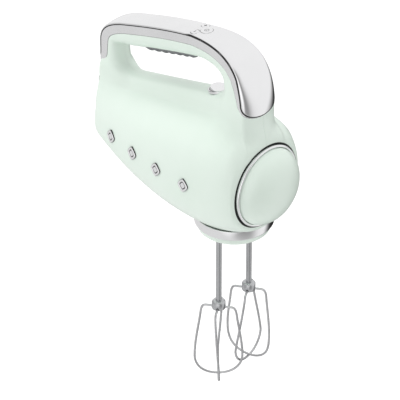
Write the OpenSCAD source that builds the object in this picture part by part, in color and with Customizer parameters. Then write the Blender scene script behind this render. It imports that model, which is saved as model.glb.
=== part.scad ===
/* [Body] */
// Distance from the heel plane to the front ring plane
body_len = 182; // [160:1:210]
// Half of the greatest body width
body_half_w = 46; // [42:1:52]
// Half width of the body where it meets the heel
heel_half_w = 22; // [18:1:26]
// Lowest point of the belly, under the front ring axis
belly_drop = 54; // [50:1:58]
// Drop of the belly at the heel
heel_drop = 20; // [16:1:26]
// Wall of the moulded casings
wall = 2.4; // [1.6:0.1:3]
// Radius of the round body mouth at the front ring
mouth_r = 41; // [39:0.5:43]

/* [Handle] */
// Half width of the handle along the grip
grip_half_w = 11.6; // [10:0.1:14]
// Half width of the handle at the bottom of the tongue
tongue_half_w = 19.2; // [16:0.1:20]
// Depth of the chrome side band along the grip
band_depth = 7.6; // [5:0.1:9]
// Depth of the whole handle below the seam
grip_depth = 23; // [20:0.1:25]
// Height that the crowned top cover stands over the seam
cover_crown = 2.4; // [1.6:0.1:3.5]
// Thickness of the black seal in the seam
seal_t = 1; // [0.6:0.1:1.6]
// Number of ribs on the soft grip
rib_count = 7; // [5:1:9]

/* [Front and neck] */
// Outer radius of the chrome front ring
ring_r = 37.5; // [36:0.1:38.5]
// Radial width of the chrome front ring
ring_w = 3; // [2:0.1:4]
// Height of the front dome past the ring
dome_h = 19; // [15:0.5:22]
// Distance of the spindle plane behind the front ring plane
neck_back = 36; // [35:1:40]
// Radius of the chrome neck ring
neck_r = 34; // [32:0.5:36]
// Radius of the socket plate's lower face
plate_r = 31; // [29:0.5:33]
// Height of the neck ring's lower edge, under the front ring axis
neck_z = 50; // [49:0.5:52]
// Height of the socket plate's lower face, under the front ring axis
plate_z = 56.4; // [55:0.2:58]

/* [Whisks] */
// Distance between the two whisk axes
whisk_pitch = 38; // [36:0.5:40]
// Diameter of a whisk shaft
shaft_d = 4.9; // [4.5:0.1:5.5]
// Diameter of a whisk wire
wire_d = 2; // [1.6:0.1:2.4]
// Greatest radius of a wire loop
loop_r = 20.6; // [18:0.1:22]
// Height of a collar's middle, under the front ring axis
collar_z = 127.8; // [110:0.2:140]
// Height of the lower wire loop's bottom, under the front ring axis
whisk_bottom = 202.6; // [180:0.2:220]

/* [Drive] */
// Teeth on each worm gear
gear_teeth = 26; // [26:1:26]
// Starts of the worm
worm_starts = 2; // [2:1:2]
// Gear module
gear_module = 1; // [1:1:1]
// Diameter of the motor shaft
motor_shaft_d = 6; // [5:0.5:6]

/* [Controls] */
// Travel of a panel button
button_travel = 0.8; // [0.5:0.1:1]
// Travel of the eject button
eject_travel = 5; // [4:0.5:6]
// Distance of the eject button from the heel plane
eject_x = 128; // [124:0.5:130]
// Radius of the eject button
eject_r = 7.6; // [6:0.1:8]

/* [Hidden] */

green = "#d6ead9";
chrome = "#c9ccd0";
black = "#1c1d1f";
steel = "#a9adb2";
copper = "#b4693a";
plastic = "#e8e4da";
rubber = "#5d6064";
big = 400;
fine = 64;
round_n = 32;

// ---- Body outline: half widths and heights along the length ----
widest_x = 140;                       // station of the greatest width
deck_rise = 0.243;                    // slope of the deck under the hand
deck_z0 = 41.2;                       // deck height produced to the heel plane
deck_top = deck_z0 + deck_rise * widest_x;
waist_z = -5;                         // height of the widest point of a section
pod_share = 0.8;                      // height of the pod's shoulder as a share of the deck's
shoulder_powers = [[140, 2.3], [158, 2.8], [172, 3.1], [178, 2.6], [182, 2]];  // how square it is
scoop_soft = 4;                       // how softly the shoulder runs into the ridge under the deck
soft_extra = 0.12;                    // what that softening adds to the half width
rear_round = 4;                       // rounding of the heel edge
body_rings = 21;
ring_arc = 8;                         // points on the belly quarter
ring_scoop = 10;                      // points from the waist to the deck
ring_deck = 4;                        // points over half of the deck

function rear_fade(x) = max(0, 1 - x / widest_x);
function front_fade(x) = max(0, (x - widest_x) / (body_len - widest_x));
function half_w(x) = body_half_w - (body_half_w - heel_half_w) * pow(rear_fade(x), 2)
    - (body_half_w - mouth_r) * pow(front_fade(x), 3.5);
function belly_z(x) = -belly_drop + (belly_drop - heel_drop) * pow(max(0, 1 - x / 125), 2)
    + (belly_drop - mouth_r) * pow(front_fade(x), 1.6);
function waist(x) = waist_z * (1 - pow(front_fade(x), 1.5));
function deck_z(x) = x < widest_x ? deck_z0 + deck_rise * x
    : deck_top - (deck_top - mouth_r) * pow(front_fade(x), 2.1);
function deck_w(x) = grip_half_w - 2 + 5.5 * pow(min(1, x / 160), 4);
// Inset that rounds the heel edge, 0 away from it
function heel_inset(x) = x >= rear_round ? 0
    : rear_round - sqrt(max(0, rear_round * rear_round - pow(rear_round - x, 2)));

function arch(t, power) = pow(max(0, 1 - pow(min(1, t), power)), 1 / power);
function pod_top(x) = waist(x) + (x < widest_x ? pod_share * (deck_z(x) - waist(x))
    : pod_share * (deck_top - waist_z) - (pod_share * (deck_top - waist_z) - mouth_r) * pow(front_fade(x), 1.5));
function ridge_w(x, g) = (deck_w(x) - g) * (1 - pow(front_fade(x), 6));
// Half width at share t of the height from the waist to the deck: the pod, softly joined to the ridge
function rim(x, g, t) = let (d = ridge_w(x, g), share = (pod_top(x) - g - waist(x)) / (deck_z(x) - g - waist(x)),
    pod = (half_w(x) - g - soft_extra) * arch(t / share, lookup(x, shoulder_powers)))
    (pod + d + sqrt(pow(pod - d, 2) + pow(scoop_soft, 2))) / 2;
// Half of one section as [y, z], from under the belly to the middle of the deck, inset by g
function belly_arc(x, g) = [for (i = [0:ring_arc]) let (a = 90 * i / ring_arc)
    [(half_w(x) - g) * pow(sin(a), 0.94),
     waist(x) - (waist(x) - belly_z(x) - g) * pow(cos(a), 0.94)]];
function scoop_arc(x, g) = [for (i = [1:ring_scoop]) let (t = i / (ring_scoop + 1))
    [rim(x, g, t), waist(x) + (deck_z(x) - g - waist(x)) * t]];
function deck_arc(x, g) = [for (i = [1:ring_deck]) let (a = 90 * i / ring_deck,
    t = ring_scoop / (ring_scoop + 1), top = deck_z(x) - g)
    [rim(x, g, t) * cos(a), top - (top - waist(x)) * (1 - t) * (1 - sin(a))]];
function half_section(x, g) = concat(belly_arc(x, g), scoop_arc(x, g), deck_arc(x, g));
function full_section(x, g) = let (h = half_section(x, g), n = len(h))
    concat(h, [for (i = [n - 2:-1:1]) [-h[i][0], h[i][1]]]);

// A closed solid through rings of [x, y, z] points, each ring in the same order
module skin(rings) {
    m = len(rings[0]);
    count = len(rings);
    points = [for (r = rings) each r];
    sides = [for (k = [0:count - 2], i = [0:m - 1]) let (a = k * m + i, b = k * m + (i + 1) % m)
        each [[a, b + m, b], [a, a + m, b + m]]];
    caps = [[for (i = [0:m - 1]) i], [for (i = [m - 1:-1:0]) (count - 1) * m + i]];
    polyhedron(points, concat(sides, caps));
}

// Body stations: close together at the heel edge, then even
function stations(x0, x1) = concat([for (x = [0, 0.5, 1.4, 2.6]) if (x > x0) x],
    [for (k = [0:body_rings]) let (a = max(x0, rear_round)) a + (x1 - a) * k / body_rings]);
module body_solid(g, x0, x1) {
    skin([for (x = concat([x0], [for (s = stations(x0, x1)) if (s > x0 + 0.01) s]))
        [for (p = full_section(x, g + heel_inset(x))) [x, p[0], p[1]]]]);
}

// ---- Handle: a seam line in the side plane, with layers at offsets from it ----
seam_back = 2.9;                      // seam ahead of the flat heel plane
seam_knots = [
    [[seam_back, 47], [seam_back, 56], [seam_back, 66], [seam_back, 74]],
    [[seam_back, 74], [3.2, 86], [12, 91.8], [26, 97.2]],
    [[26, 97.2], [54, 106.3], [80, 113.9], [106, 118.5]],
    [[106, 118.5], [130, 122], [152, 121.5], [163, 103]],
    [[163, 103], [168, 92.5], [170, 81], [169.5, 65.5]],
    [[169.5, 65.5], [169.2, 58], [170, 50], [172, 40]]
];
seam_parts = 5;                       // the segments that carry the trim; the last one is all green
seam_steps = 6;

function bezier(b, t) = pow(1 - t, 3) * b[0] + 3 * t * pow(1 - t, 2) * b[1]
    + 3 * t * t * (1 - t) * b[2] + pow(t, 3) * b[3];
function slope(b, t) = 3 * pow(1 - t, 2) * (b[1] - b[0]) + 6 * t * (1 - t) * (b[2] - b[1])
    + 3 * t * t * (b[3] - b[2]);
// Seam samples as [x, z, outward normal x, outward normal z, place: 1 at the end of the trim]
function seam_at(s) = let (k = min(len(seam_knots) - 1, floor(s * seam_parts)),
    t = s * seam_parts - k, p = bezier(seam_knots[k], t), v = slope(seam_knots[k], t),
    m = norm(v)) [p[0], p[1], -v[1] / m, v[0] / m, s];
seam_total = seam_parts * seam_steps;
seam_all = len(seam_knots) * seam_steps;
// Samples between two places; a shift of part of a step keeps the rings of two solids off one plane
function seam_run(s0, s1, shift = 0) = [for (s = concat(shift > 0 ? [s0] : [],
    [for (i = [0:seam_all]) (i + shift) / seam_total], shift > 0 ? [s1] : []))
    if (s >= s0 - 0.001 && s <= s1 + 0.001) seam_at(s)];

// Share of the way from the grip to the wide tongue
function tongue_share(s) = sin(90 * min(1, max(0, (s - 0.6) / 0.3)));
// Height of the cover's middle over the seam: it bulges more and more towards the tongue's end
function crown_at(s) = cover_crown + tongue_crown * tongue_share(s) + brow_crown * brow_share(s);
function brow_share(s) = let (t = min(1, max(0, (s - 0.75) / 0.25))) t * t * (3 - 2 * t);
function side_w(s) = grip_half_w + (tongue_half_w - grip_half_w) * tongue_share(s);
function tongue_end(s) = s < 0.93 ? 1 : sqrt(max(0.06, 1 - pow((s - 0.93) / 0.072, 2.6)));
function band_at(s) = band_depth * min(1, 0.7 + 1.5 * s) * (s < 0.72 ? 1 : 1 - 0.82 * (s - 0.72) / 0.28);
// Depth of the handle as a share of the grip's: a fillet at the heel, a thin rear leg, a full grip
// and a thick front leg
tongue_crown = 1.7;                   // how much more the cover bulges on the tongue
brow_crown = 4.4;                     // and more again at its end
depth_shares = [[0, 1.4], [0.05, 1.02], [0.1, 0.8], [0.16, 0.7], [0.22, 0.69], [0.3, 0.78], [0.4, 0.95],
    [0.5, 1], [0.57, 0.98], [0.63, 0.9], [0.68, 0.95], [0.75, 1], [0.8, 1.04], [0.87, 1.12], [1, 1.12]];
function depth_at(s) = grip_depth * lookup(s, depth_shares);

// Place of an offset point: n along the outward normal, y across
function lay(q, n, y) = [q[0] + n * q[2], y, q[1] + n * q[3]];
module layer(run, lo, hi, w) {
    skin([for (q = run) let (a = w[0] * side_w(q[4]) * (w[1] ? tongue_end(q[4]) : 1) - w[2])
        [lay(q, lo(q[4]), -a), lay(q, lo(q[4]), a), lay(q, hi(q[4]), a), lay(q, hi(q[4]), -a)]]);
}
// Rounded core of the handle, inset by g
core_sides = 16;
module core(g, s0, s1, shift) {
    skin([for (q = seam_run(s0, s1, shift)) let (top = crown_at(q[4]) * brow_share(q[4]) - g,
        bot = -depth_at(q[4]) + g,
        a = side_w(q[4]) - g, mid = (top + bot) / 2, h = (top - bot) / 2)
        [for (i = [0:core_sides - 1]) let (t = 360 * i / core_sides,
            c = sign(cos(t)) * pow(abs(cos(t)), 0.5), e = sign(sin(t)) * pow(abs(sin(t)), 0.62))
            lay(q, mid + h * e, a * c)]]);
}

// ---- Frames for pieces that lie along other axes ----
module along_x(x, y, z) { translate([x, y, z]) rotate([0, 90, 0]) children(); }
module along_y(x, y, z) { translate([x, y, z]) rotate([-90, 0, 0]) children(); }
module tube(r_out, r_in, h) {
    difference() {
        cylinder(r = r_out, h = h, $fn = fine);
        translate([0, 0, -1]) cylinder(r = r_in, h = h + 2, $fn = fine);
    }
}
module half_space(side) { translate([-big / 2, side > 0 ? 0 : -big, -big / 2]) cube(big); }
module box(x0, x1, y0, y1, z0, z1) { translate([x0, y0, z0]) cube([x1 - x0, y1 - y0, z1 - z0]); }

// ---- Places shared by several pieces ----
neck_x = body_len - neck_back;
seat_y = whisk_pitch / 2;
control_s = 0.613;                    // place of the buttons along the seam
control = seam_at(control_s);
control_tilt = atan2(control[2], control[3]);
module control_frame() { translate([control[0], 0, control[1]]) rotate([0, control_tilt, 0]) children(); }
side_button = [-3.6, 6.5, 3.7];       // along, across, radius
power_place = [4, 0, 5.4];
button_gap = 0.25;
cap_low = -1;                         // underside of a button cap, along the panel's normal
cap_high = 3.7;
deck_tilt = -atan(deck_rise);
module deck_frame() { translate([eject_x, 0, deck_z(eject_x)]) rotate([0, deck_tilt, 0]) children(); }
inlet = [16, 0, belly_z(16)];
inlet_r = 3.6;
screw_places = [[27, 24], [27, -2], [98, 44], [104, -38], [165, -30]];
badge_xs = [33, 64.5, 96.5, 130];
badge_z = -1;
badge_size = 6.2;
badge_t = 2.6;
badge_seat = 1.2;                     // how deep a badge sits in the casing's side
badge_gap = 0.1;
badge_pocket = 9;                     // height of the cutter for its pocket
screw_post_r = 4;                     // posts for the casing screws, and their two bores
screw_bore_r = 1.56;
screw_head_r = 3.2;
flange_z = 7;                         // the cord inlet's flange above its mouth, and its size
flange_t = 3;
flange_r = inlet_r + 4;
bezel_seat = 1.2;
bezel_r = eject_r + 1.9;
vent_count = 8;
mouth_lip = 7.5;                      // depth of the solid rim that holds the front ring
heel_low = -12;
heel_high = 40;
heel_half = 13;

// ---- Casings ----
module heel_slab(g, depth) {
    translate([0, 0, (heel_low + heel_high) / 2]) rotate([0, 90, 0])
        linear_extrude(depth) offset(r = 5 + g, $fn = round_n)
            square([heel_high - heel_low - 10, 2 * heel_half - 10], center = true);
}
module trim_space() {
    layer(seam_run(0, 1), function(s) -band_at(s), function(s) 14, [1, true, -0.4]);
}
grip_from = 0.44;                     // the soft grip's ends, as places along the seam
grip_to = 0.61;
grip_share = 0.68;                    // its width as a share of the handle's
module grip_space() {
    layer(seam_run(grip_from, grip_to), function(s) -depth_at(s) - 4, function(s) -depth_at(s) + 1.4,
        [grip_share, false, 0]);
}
module badge(i, side, gap) {
    x = badge_xs[i];
    lean = atan((half_w(x + 1) - half_w(x - 1)) / 2);
    translate([x, side * (half_w(x) - badge_seat), badge_z]) rotate([0, 0, side * lean])
        rotate([-90 * side, 0, 0]) cylinder(r = badge_size + gap, h = gap > 0 ? badge_pocket : badge_t, $fn = 4);
}
module casing(side) {
    intersection() {
        difference() {
            union() {
                body_solid(0, 0, body_len);
                difference() {
                    core(0, 0, 1.16, 0.33);
                    core(wall, 0.02, 1.1, 0.67);
                }
            }
            difference() {
                body_solid(wall, wall, body_len - mouth_lip);
                for (p = screw_places) along_y(p[0], -60, p[1]) cylinder(r = screw_post_r, h = 120, $fn = round_n);
            }
            for (p = screw_places) along_y(p[0], -15, p[1]) cylinder(r = screw_bore_r, h = 30, $fn = round_n);
            for (p = screw_places) along_y(p[0], 12, p[1]) cylinder(r = screw_head_r, h = 68, $fn = round_n);
            trim_space();
            grip_space();
            along_x(body_len - mouth_lip - 1, 0, 0) cylinder(r = ring_r + 1.2, h = 20, $fn = fine);
            translate([neck_x, 0, -70]) cylinder(r = neck_r + 0.3, h = 70 - 40, $fn = fine);
            translate([eject_x, 0, 40]) cylinder(r = eject_r + 0.9, h = 60, $fn = fine);
            translate([inlet[0], 0, -60]) cylinder(r = inlet_r + 2.4, h = 60, $fn = round_n);
            translate([inlet[0], 0, inlet[2] + flange_z]) cylinder(r = flange_r + 0.1, h = flange_t + 0.1, $fn = fine);
            deck_frame() translate([0, 0, -bezel_seat]) cylinder(r = bezel_r + 0.1, h = 6, $fn = fine);
            for (i = [0:len(badge_xs) - 1]) badge(i, side, badge_gap);
            translate([-1, 0, 0]) heel_slab(0, 2.6);
            for (i = [0:vent_count - 1]) hull() for (y = [9, 21])
                translate([36 + 5.4 * i, side * y, -70]) cylinder(r = 1.3, h = 66, $fn = 12);
        }
        half_space(side);
    }
}
module housing_left() { color(green) casing(1); }
module housing_right() { color(green) casing(-1); }
module heel_pad() { color(rubber) heel_slab(0, 1.6); }

// ---- Handle trim ----
crown_sides = 8;
module crowned(run, low, edge, grow) {
    skin([for (q = run) let (a = side_w(q[4]) * tongue_end(q[4]) + grow)
        concat([lay(q, low, -a), lay(q, low, a)],
            [for (i = [0:crown_sides]) let (t = 180 * i / crown_sides)
                lay(q, low + edge + (crown_at(q[4]) - low) * pow(sin(t), 0.8), a * cos(t))])]);
}
module button_holes(g) {
    control_frame() {
        for (y = [-1, 1]) translate([side_button[0], y * side_button[1], -3])
            cylinder(r = side_button[2] + g, h = 12, $fn = fine);
        translate([power_place[0], 0, -3]) cylinder(r = power_place[2] + g, h = 12, $fn = fine);
    }
}
module top_cover() {
    color(chrome) difference() {
        crowned(seam_run(0, 1), seal_t, 0.5, 0.3);
        button_holes(button_gap);
    }
}
module handle_seal() {
    color(black) difference() {
        layer(seam_run(0, 1), function(s) 0, function(s) seal_t, [1, true, 0.4]);
        layer(seam_run(0.05, 0.9, 0.5), function(s) -1, function(s) seal_t + 1, [1, false, 1.2]);
    }
}
module handle_band() {
    color(chrome) difference() {
        layer(seam_run(0, 1), function(s) -band_at(s), function(s) 0, [1, true, -0.3]);
        layer(seam_run(0.05, 0.9, 0.5), function(s) min(-1, -band_at(s) + 1.2), function(s) 1, [1, false, 1.4]);
    }
}
rib_from = 0.478;
rib_to = 0.592;
module grip_pad() {
    color(rubber) {
        layer(seam_run(grip_from, grip_to), function(s) -depth_at(s) - 0.4, function(s) -depth_at(s) + 1.4,
            [grip_share, false, 0]);
        for (i = [0:rib_count - 1]) let (q = seam_at(rib_from + (rib_to - rib_from) * i / (rib_count - 1)))
            translate(lay(q, -depth_at(q[4]) - 0.4, -0.6 * grip_half_w)) rotate([-90, 0, 0])
                cylinder(r = 1.7, h = 1.2 * grip_half_w, $fn = round_n);
    }
}

// ---- Panel controls ----
module button_cap(r, high) {
    translate([0, 0, cap_low]) cylinder(r = r, h = high - cap_low - 0.4, $fn = fine);
    translate([0, 0, high - 0.4]) cylinder(r1 = r, r2 = r - 0.5, h = 0.4, $fn = fine);
}
module side_button_at(y) {
    color(chrome) control_frame() translate([side_button[0], y * side_button[1], 0])
        button_cap(side_button[2], cap_high - 0.5);
}
module minus_button() { side_button_at(-1); }
module plus_button() { side_button_at(1); }
module power_button() {
    color(chrome) control_frame() translate([power_place[0], 0, 0]) button_cap(power_place[2], cap_high);
}
gasket_top = cap_low - button_travel - 0.1;
switch_h = 1.2;
board_top = gasket_top - 0.7 - switch_h;
module button_gasket() { color(rubber) control_frame() box(-11, 11, -9.6, 9.6, gasket_top - 0.7, gasket_top); }
module tact_switches() {
    color(black) control_frame() for (p = [[side_button[0], side_button[1] - 1],
        [side_button[0], 1 - side_button[1]], [power_place[0], 0]])
        translate([p[0] - 2.2, p[1] - 2.2, board_top]) cube([4.4, 4.4, switch_h]);
}
board_screw_x = 12.5;
module control_board() {
    color("darkgreen") control_frame() difference() {
        box(-15, 15, -9.6, 9.6, board_top - 1.2, board_top);
        for (x = [-board_screw_x, board_screw_x]) translate([x, 0, board_top - 3])
            cylinder(r = 1, h = 6, $fn = round_n);
    }
}
module board_screws() {
    color(steel) control_frame() for (x = [-board_screw_x, board_screw_x]) translate([x, 0, board_top]) {
        translate([0, 0, -1.2]) cylinder(r = 0.95, h = 1.2, $fn = round_n);
        cylinder(r = 1.7, h = 0.8, $fn = round_n);
    }
}

// ---- Eject button and its pusher ----
yoke_z = 24;
spindle_top = 14.5;
shaft_top = 9;
button_top = deck_z(eject_x) + 2.2;
module eject_button() {
    color(green) translate([eject_x, 0, 0]) {
        translate([0, 0, button_top - 8]) cylinder(r = eject_r, h = 7, $fn = fine);
        translate([0, 0, button_top - 1]) cylinder(r1 = eject_r, r2 = eject_r - 1.2, h = 1, $fn = fine);
        translate([0, 0, yoke_z + 2.5]) cylinder(r = 3, h = button_top - yoke_z - 10, $fn = fine);
    }
}
module eject_bezel() {
    color(chrome) intersection() {
        deck_frame() translate([0, 0, -bezel_seat]) tube(bezel_r, eject_r + 0.7, 2.6);
        translate([eject_x, 0, 0]) tube(30, eject_r + 0.5, 200);
    }
}
module ejector_yoke() {
    color(plastic) {
        box(eject_x - 4, neck_x + 5, -5, 5, yoke_z, yoke_z + 2.5);
        box(neck_x - 5, neck_x + 5, -seat_y - 3, seat_y + 3, yoke_z, yoke_z + 2.5);
        for (y = [-seat_y, seat_y]) translate([neck_x, y, shaft_top + 0.3])
            cylinder(r = shaft_d / 2 - 0.25, h = yoke_z - shaft_top, $fn = fine);
    }
}
// A round wire of radius w swept along a list of points
function unit(v) = v / norm(v);
function wire_rings(path, w, sides, up) = [for (i = [0:len(path) - 1])
    let (t = unit(path[min(i + 1, len(path) - 1)] - path[max(i - 1, 0)]),
        a = unit(cross(t, up)), b = cross(t, a))
    [for (k = [0:sides - 1]) let (f = 360 * k / sides) path[i] + w * (a * cos(f) + b * sin(f))]];
spring_turns = 5;
spring_low = 11.6;
module eject_spring() {
    r = 4.6;
    steps = 14;
    w = 0.45;
    rise = yoke_z - spring_low - 2 * w;
    path = [for (i = [0:spring_turns * steps]) let (a = 360 * i / steps)
        [neck_x + r * cos(a), r * sin(a), spring_low + w + rise * i / (spring_turns * steps)]];
    color(steel) skin(wire_rings(path, w, 6, [0, 0, 1]));
}

// ---- Front ring, dome, neck ----
module turned(points) { rotate_extrude($fn = 96) polygon(points); }
module front_ring() {
    lip = ring_w / 2;
    color(chrome) along_x(body_len, 0, 0) turned(concat(
        [[ring_r - ring_w, -7], [ring_r - 1, -7], [ring_r - 1, -3], [ring_r, -2.4]],
        [for (a = [0:30:180]) [ring_r - lip + lip * cos(a), 1 + 1.8 * sin(a)]]));
}
dome_r = ring_r - ring_w - 0.1;
dome_wall = 2.2;
dome_steps = 14;
// Quarter of the dome's outline as [radius, height], from its edge to its tip, inset by g
function dome_arc(g) = [for (i = [0:dome_steps]) let (a = 90 * i / dome_steps)
    [(dome_r - g) * pow(cos(a), 0.86), 0.6 + (dome_h - g) * sin(a)]];
module front_dome() {
    inside = dome_arc(dome_wall);
    color(green) along_x(body_len, 0, 0) turned(concat([[dome_r - dome_wall, -6], [dome_r, -6]],
        dome_arc(0), [for (i = [dome_steps:-1:1]) inside[i]]));
}
module neck_ring() {
    color(chrome) translate([neck_x, 0, 0]) turned([[neck_r - 2, -neck_z + 0.6], [neck_r - 0.8, -neck_z],
        [neck_r, -neck_z + 0.8], [neck_r, -41], [neck_r - 2, -41]]);
}
module socket_plate() {
    edge = neck_r - 2.1;
    color(green) difference() {
        translate([neck_x, 0, 0]) turned([[0, -plate_z], [plate_r - 2, -plate_z],
            [plate_r, -plate_z + 1.6], [edge, -neck_z], [edge, -42], [edge - 2.2, -42],
            [edge - 2.2, -neck_z + 0.6], [plate_r - 3, -plate_z + 3], [0, -plate_z + 3]]);
        for (y = [-seat_y, seat_y]) translate([neck_x, y, -plate_z - 1])
            cylinder(r = spindle_r + 0.6, h = 8, $fn = fine);
    }
}
module badges(side) { for (i = [0:len(badge_xs) - 1]) badge(i, side, 0); }
module badge_left() { color(chrome) badges(1); }
module badge_right() { color(chrome) badges(-1); }
module cord_inlet() {
    color(black) translate([inlet[0], 0, 0]) {
        translate([0, 0, inlet[2] - 4]) tube(inlet_r + 2.3, inlet_r, 4 + flange_z + flange_t);
        translate([0, 0, inlet[2] + flange_z]) tube(flange_r, inlet_r, flange_t);
    }
}

// ---- Motor, along X on the ring axis ----
stator_x0 = 66;
stator_x1 = 96;
bore_r = 13.4;
rotor_r = 12.9;
shaft_r = motor_shaft_d / 2;
coil_in = 13.7;
coil_out = 17.4;
coil_end = 6;
module stator_core() {
    color("dimgray") along_x(stator_x0, 0, 0) linear_extrude(stator_x1 - stator_x0) difference() {
        intersection() {
            square([40, 44], center = true);
            circle(r = 25.5, $fn = fine);
        }
        circle(r = bore_r, $fn = fine);
        for (y = [-1, 1]) translate([0, y * (coil_in + coil_out) / 2])
            square([20, coil_out - coil_in + 1.6], center = true);
    }
}
module field_coils() {
    color(copper) for (z = [-1, 1]) {
        for (y = [-1, 1]) translate([stator_x0 - coil_end, y * (coil_in + coil_out) / 2, z * 4.9])
            translate([(stator_x1 - stator_x0) / 2 + coil_end, 0, 0])
                cube([stator_x1 - stator_x0 + 2 * coil_end, coil_out - coil_in, 8.6], center = true);
        for (x = [stator_x0 - coil_end, stator_x1 + 0.3]) intersection() {
            along_x(x, 0, 0) tube(coil_out, coil_in, coil_end - 0.3);
            translate([x - 1, -30, z > 0 ? 0.6 : -30.6]) cube([12, 60, 30]);
        }
    }
}
module rotor_core() {
    color("dimgray") along_x(stator_x0 + 1, 0, 0) difference() {
        tube(rotor_r, shaft_r, stator_x1 - stator_x0 - 2);
        for (a = [0:30:330]) rotate([0, 0, a + 15]) translate([rotor_r, 0, -1])
            cylinder(r = 1.1, h = 40, $fn = round_n);
    }
}
module rotor_windings() {
    color(copper) for (x = [stator_x0 - 5, stator_x1 - 1]) along_x(x, 0, 0) difference() {
        union() {
            cylinder(r = 10.4, h = 6, $fn = fine);
            translate([0, 0, 1.4]) cylinder(r = 11.6, h = 3.2, $fn = fine);
        }
        translate([0, 0, -1]) cylinder(r = shaft_r, h = 8, $fn = fine);
    }
}
commutator_x = 50;
commutator_r = 8;
module commutator() {
    color(copper) along_x(commutator_x, 0, 0) difference() {
        tube(commutator_r, shaft_r, 10);
        for (a = [0:30:330]) rotate([0, 0, a]) translate([commutator_r - 0.8, -0.3, 1])
            cube([2, 0.6, 10]);
    }
}
fan_x = 104.5;
module cooling_fan() {
    color(plastic) along_x(fan_x, 0, 0) {
        tube(6, shaft_r, 8);
        difference() {
            cylinder(r = 18.5, h = 1.4, $fn = fine);
            translate([0, 0, -1]) cylinder(r = 5, h = 4, $fn = fine);
        }
        for (a = [0:30:330]) rotate([0, 0, a]) translate([5.5, -0.6, 1]) cube([12.5, 1.2, 6.5]);
    }
}
rear_x = 38;
front_x = 116;
leg_y = 19.6;
module bracket(x, legs_x0, legs_x1, hole_r) {
    difference() {
        box(x, x + 4, -leg_y - 2, leg_y + 2, -7.5, 7.5);
        along_x(x - 1, 0, 0) cylinder(r = hole_r, h = 6, $fn = fine);
    }
    for (y = [-leg_y - 2, leg_y]) box(legs_x0, legs_x1, y, y + 2, -5, 5);
}
module rear_bracket() { color("silver") bracket(rear_x, rear_x + 3.9, stator_x0, 6); }
module front_bracket() { color("silver") bracket(front_x, stator_x1, front_x + 0.1, 6); }
module rear_bearing() { color(copper) along_x(rear_x - 1, 0, 0) tube(6, shaft_r + 0.05, 6); }
module front_bearing() { color(copper) along_x(front_x - 1, 0, 0) tube(6, shaft_r + 0.05, 6); }
brush_x = commutator_x + 5;
module brush_holders() {
    color(black) for (z = [-1, 1]) difference() {
        translate([brush_x, 0, z * 15.4]) cube([8, 9, 12], center = true);
        translate([brush_x, 0, z * 15.4]) cube([5.2, 6.2, 14], center = true);
    }
}
module carbon_brushes() {
    color("#3a3a3c") for (z = [-1, 1]) translate([brush_x, 0, z * (commutator_r + 0.3 + 5)])
        cube([5, 6, 10], center = true);
}

// ---- Worm drive ----
worm_r = seat_y - gear_module * gear_teeth / 2;   // pitch radius of the worm
wheel_r = gear_module * gear_teeth / 2;
tooth_up = 0.9 * gear_module;
tooth_down = 1.15 * gear_module;
pitch = PI * gear_module;
lead = worm_starts * pitch;
flank = tan(20);
backlash = 0.5;                       // clearance along the pitch line
worm_x0 = neck_x - 8.5;
worm_x1 = neck_x + 8.5;
nose_x = neck_x + 9.3;
// Half thickness of a worm thread at radius r
function thread_half(r) = (pitch - backlash) / 4 - (r - worm_r) * flank;
thread_x = neck_x - 2.5 * pitch;      // a thread crest sits at this station above the axis
module worm_thread(start) {
    steps = 20;
    turns = 5 * pitch / lead;
    low_r = worm_r - tooth_down - 0.3;
    high_r = worm_r + tooth_up;
    skin([for (i = [0:steps * turns]) let (a = 360 * i / steps, x = thread_x + lead * a / 360,
        f = a + 360 * start / worm_starts + worm_phase)
        [for (c = [[low_r, 1], [high_r, 1], [high_r, -1], [low_r, -1]])
            [x + c[1] * thread_half(c[0]), c[0] * cos(f), c[0] * sin(f)]]]);
}
module motor_shaft() {
    color(steel) {
        along_x(rear_x - 4, 0, 0) cylinder(r = shaft_r, h = nose_x + 9 - rear_x, $fn = fine);
        along_x(worm_x0, 0, 0) cylinder(r = worm_r - tooth_down, h = worm_x1 - worm_x0, $fn = fine);
        for (s = [0:worm_starts - 1]) worm_thread(s);
    }
}
module nose_bearing() { color(copper) along_x(nose_x, 0, 0) tube(5, shaft_r + 0.05, 5); }
gear_half = 4;
helix = asin(min(1, gear_half / worm_r)) * lead / 360 / wheel_r * 180 / PI;
worm_phase = 0;
wheel_turn = 0;
module wheel_outline() {
    flat = 360 / gear_teeth;
    half = (pitch - backlash) / 4;
    polygon([for (i = [0:gear_teeth - 1]) let (a = i * flat) each
        [for (c = [[wheel_r - tooth_down, -half - tooth_down * flank],
            [wheel_r + tooth_up, -half + tooth_up * flank],
            [wheel_r + tooth_up, half - tooth_up * flank],
            [wheel_r - tooth_down, half + tooth_down * flank]])
            let (t = a + c[1] / c[0] * 180 / PI) [c[0] * cos(t), c[0] * sin(t)]]]);
}
module worm_gear(side, turn) {
    translate([neck_x, side * seat_y, 0]) difference() {
        union() {
            rotate([0, 0, turn]) translate([0, 0, -gear_half])
                linear_extrude(2 * gear_half, twist = -2 * helix, slices = 4) rotate(-helix) wheel_outline();
            translate([0, 0, -6.6]) cylinder(r = 7, h = 13.2, $fn = fine);
        }
        translate([0, 0, -10]) cylinder(r = spindle_r, h = 20, $fn = fine);
    }
}
module worm_gear_left() { color(plastic) worm_gear(1, -90 + wheel_turn); }
module worm_gear_right() { color(plastic) worm_gear(-1, 90 + wheel_turn); }
spindle_r = 4.5;
spindle_low = -plate_z + 0.6;
module spindle(side) {
    color(steel) translate([neck_x, side * seat_y, spindle_low])
        tube(spindle_r, shaft_d / 2 + 0.05, spindle_top - spindle_low);
}
module spindle_left() { spindle(1); }
module spindle_right() { spindle(-1); }
case_in = 14.8;
case_out = 16.4;
case_floor = -9;
case_rim = 9;
bush_low = -46;
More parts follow.
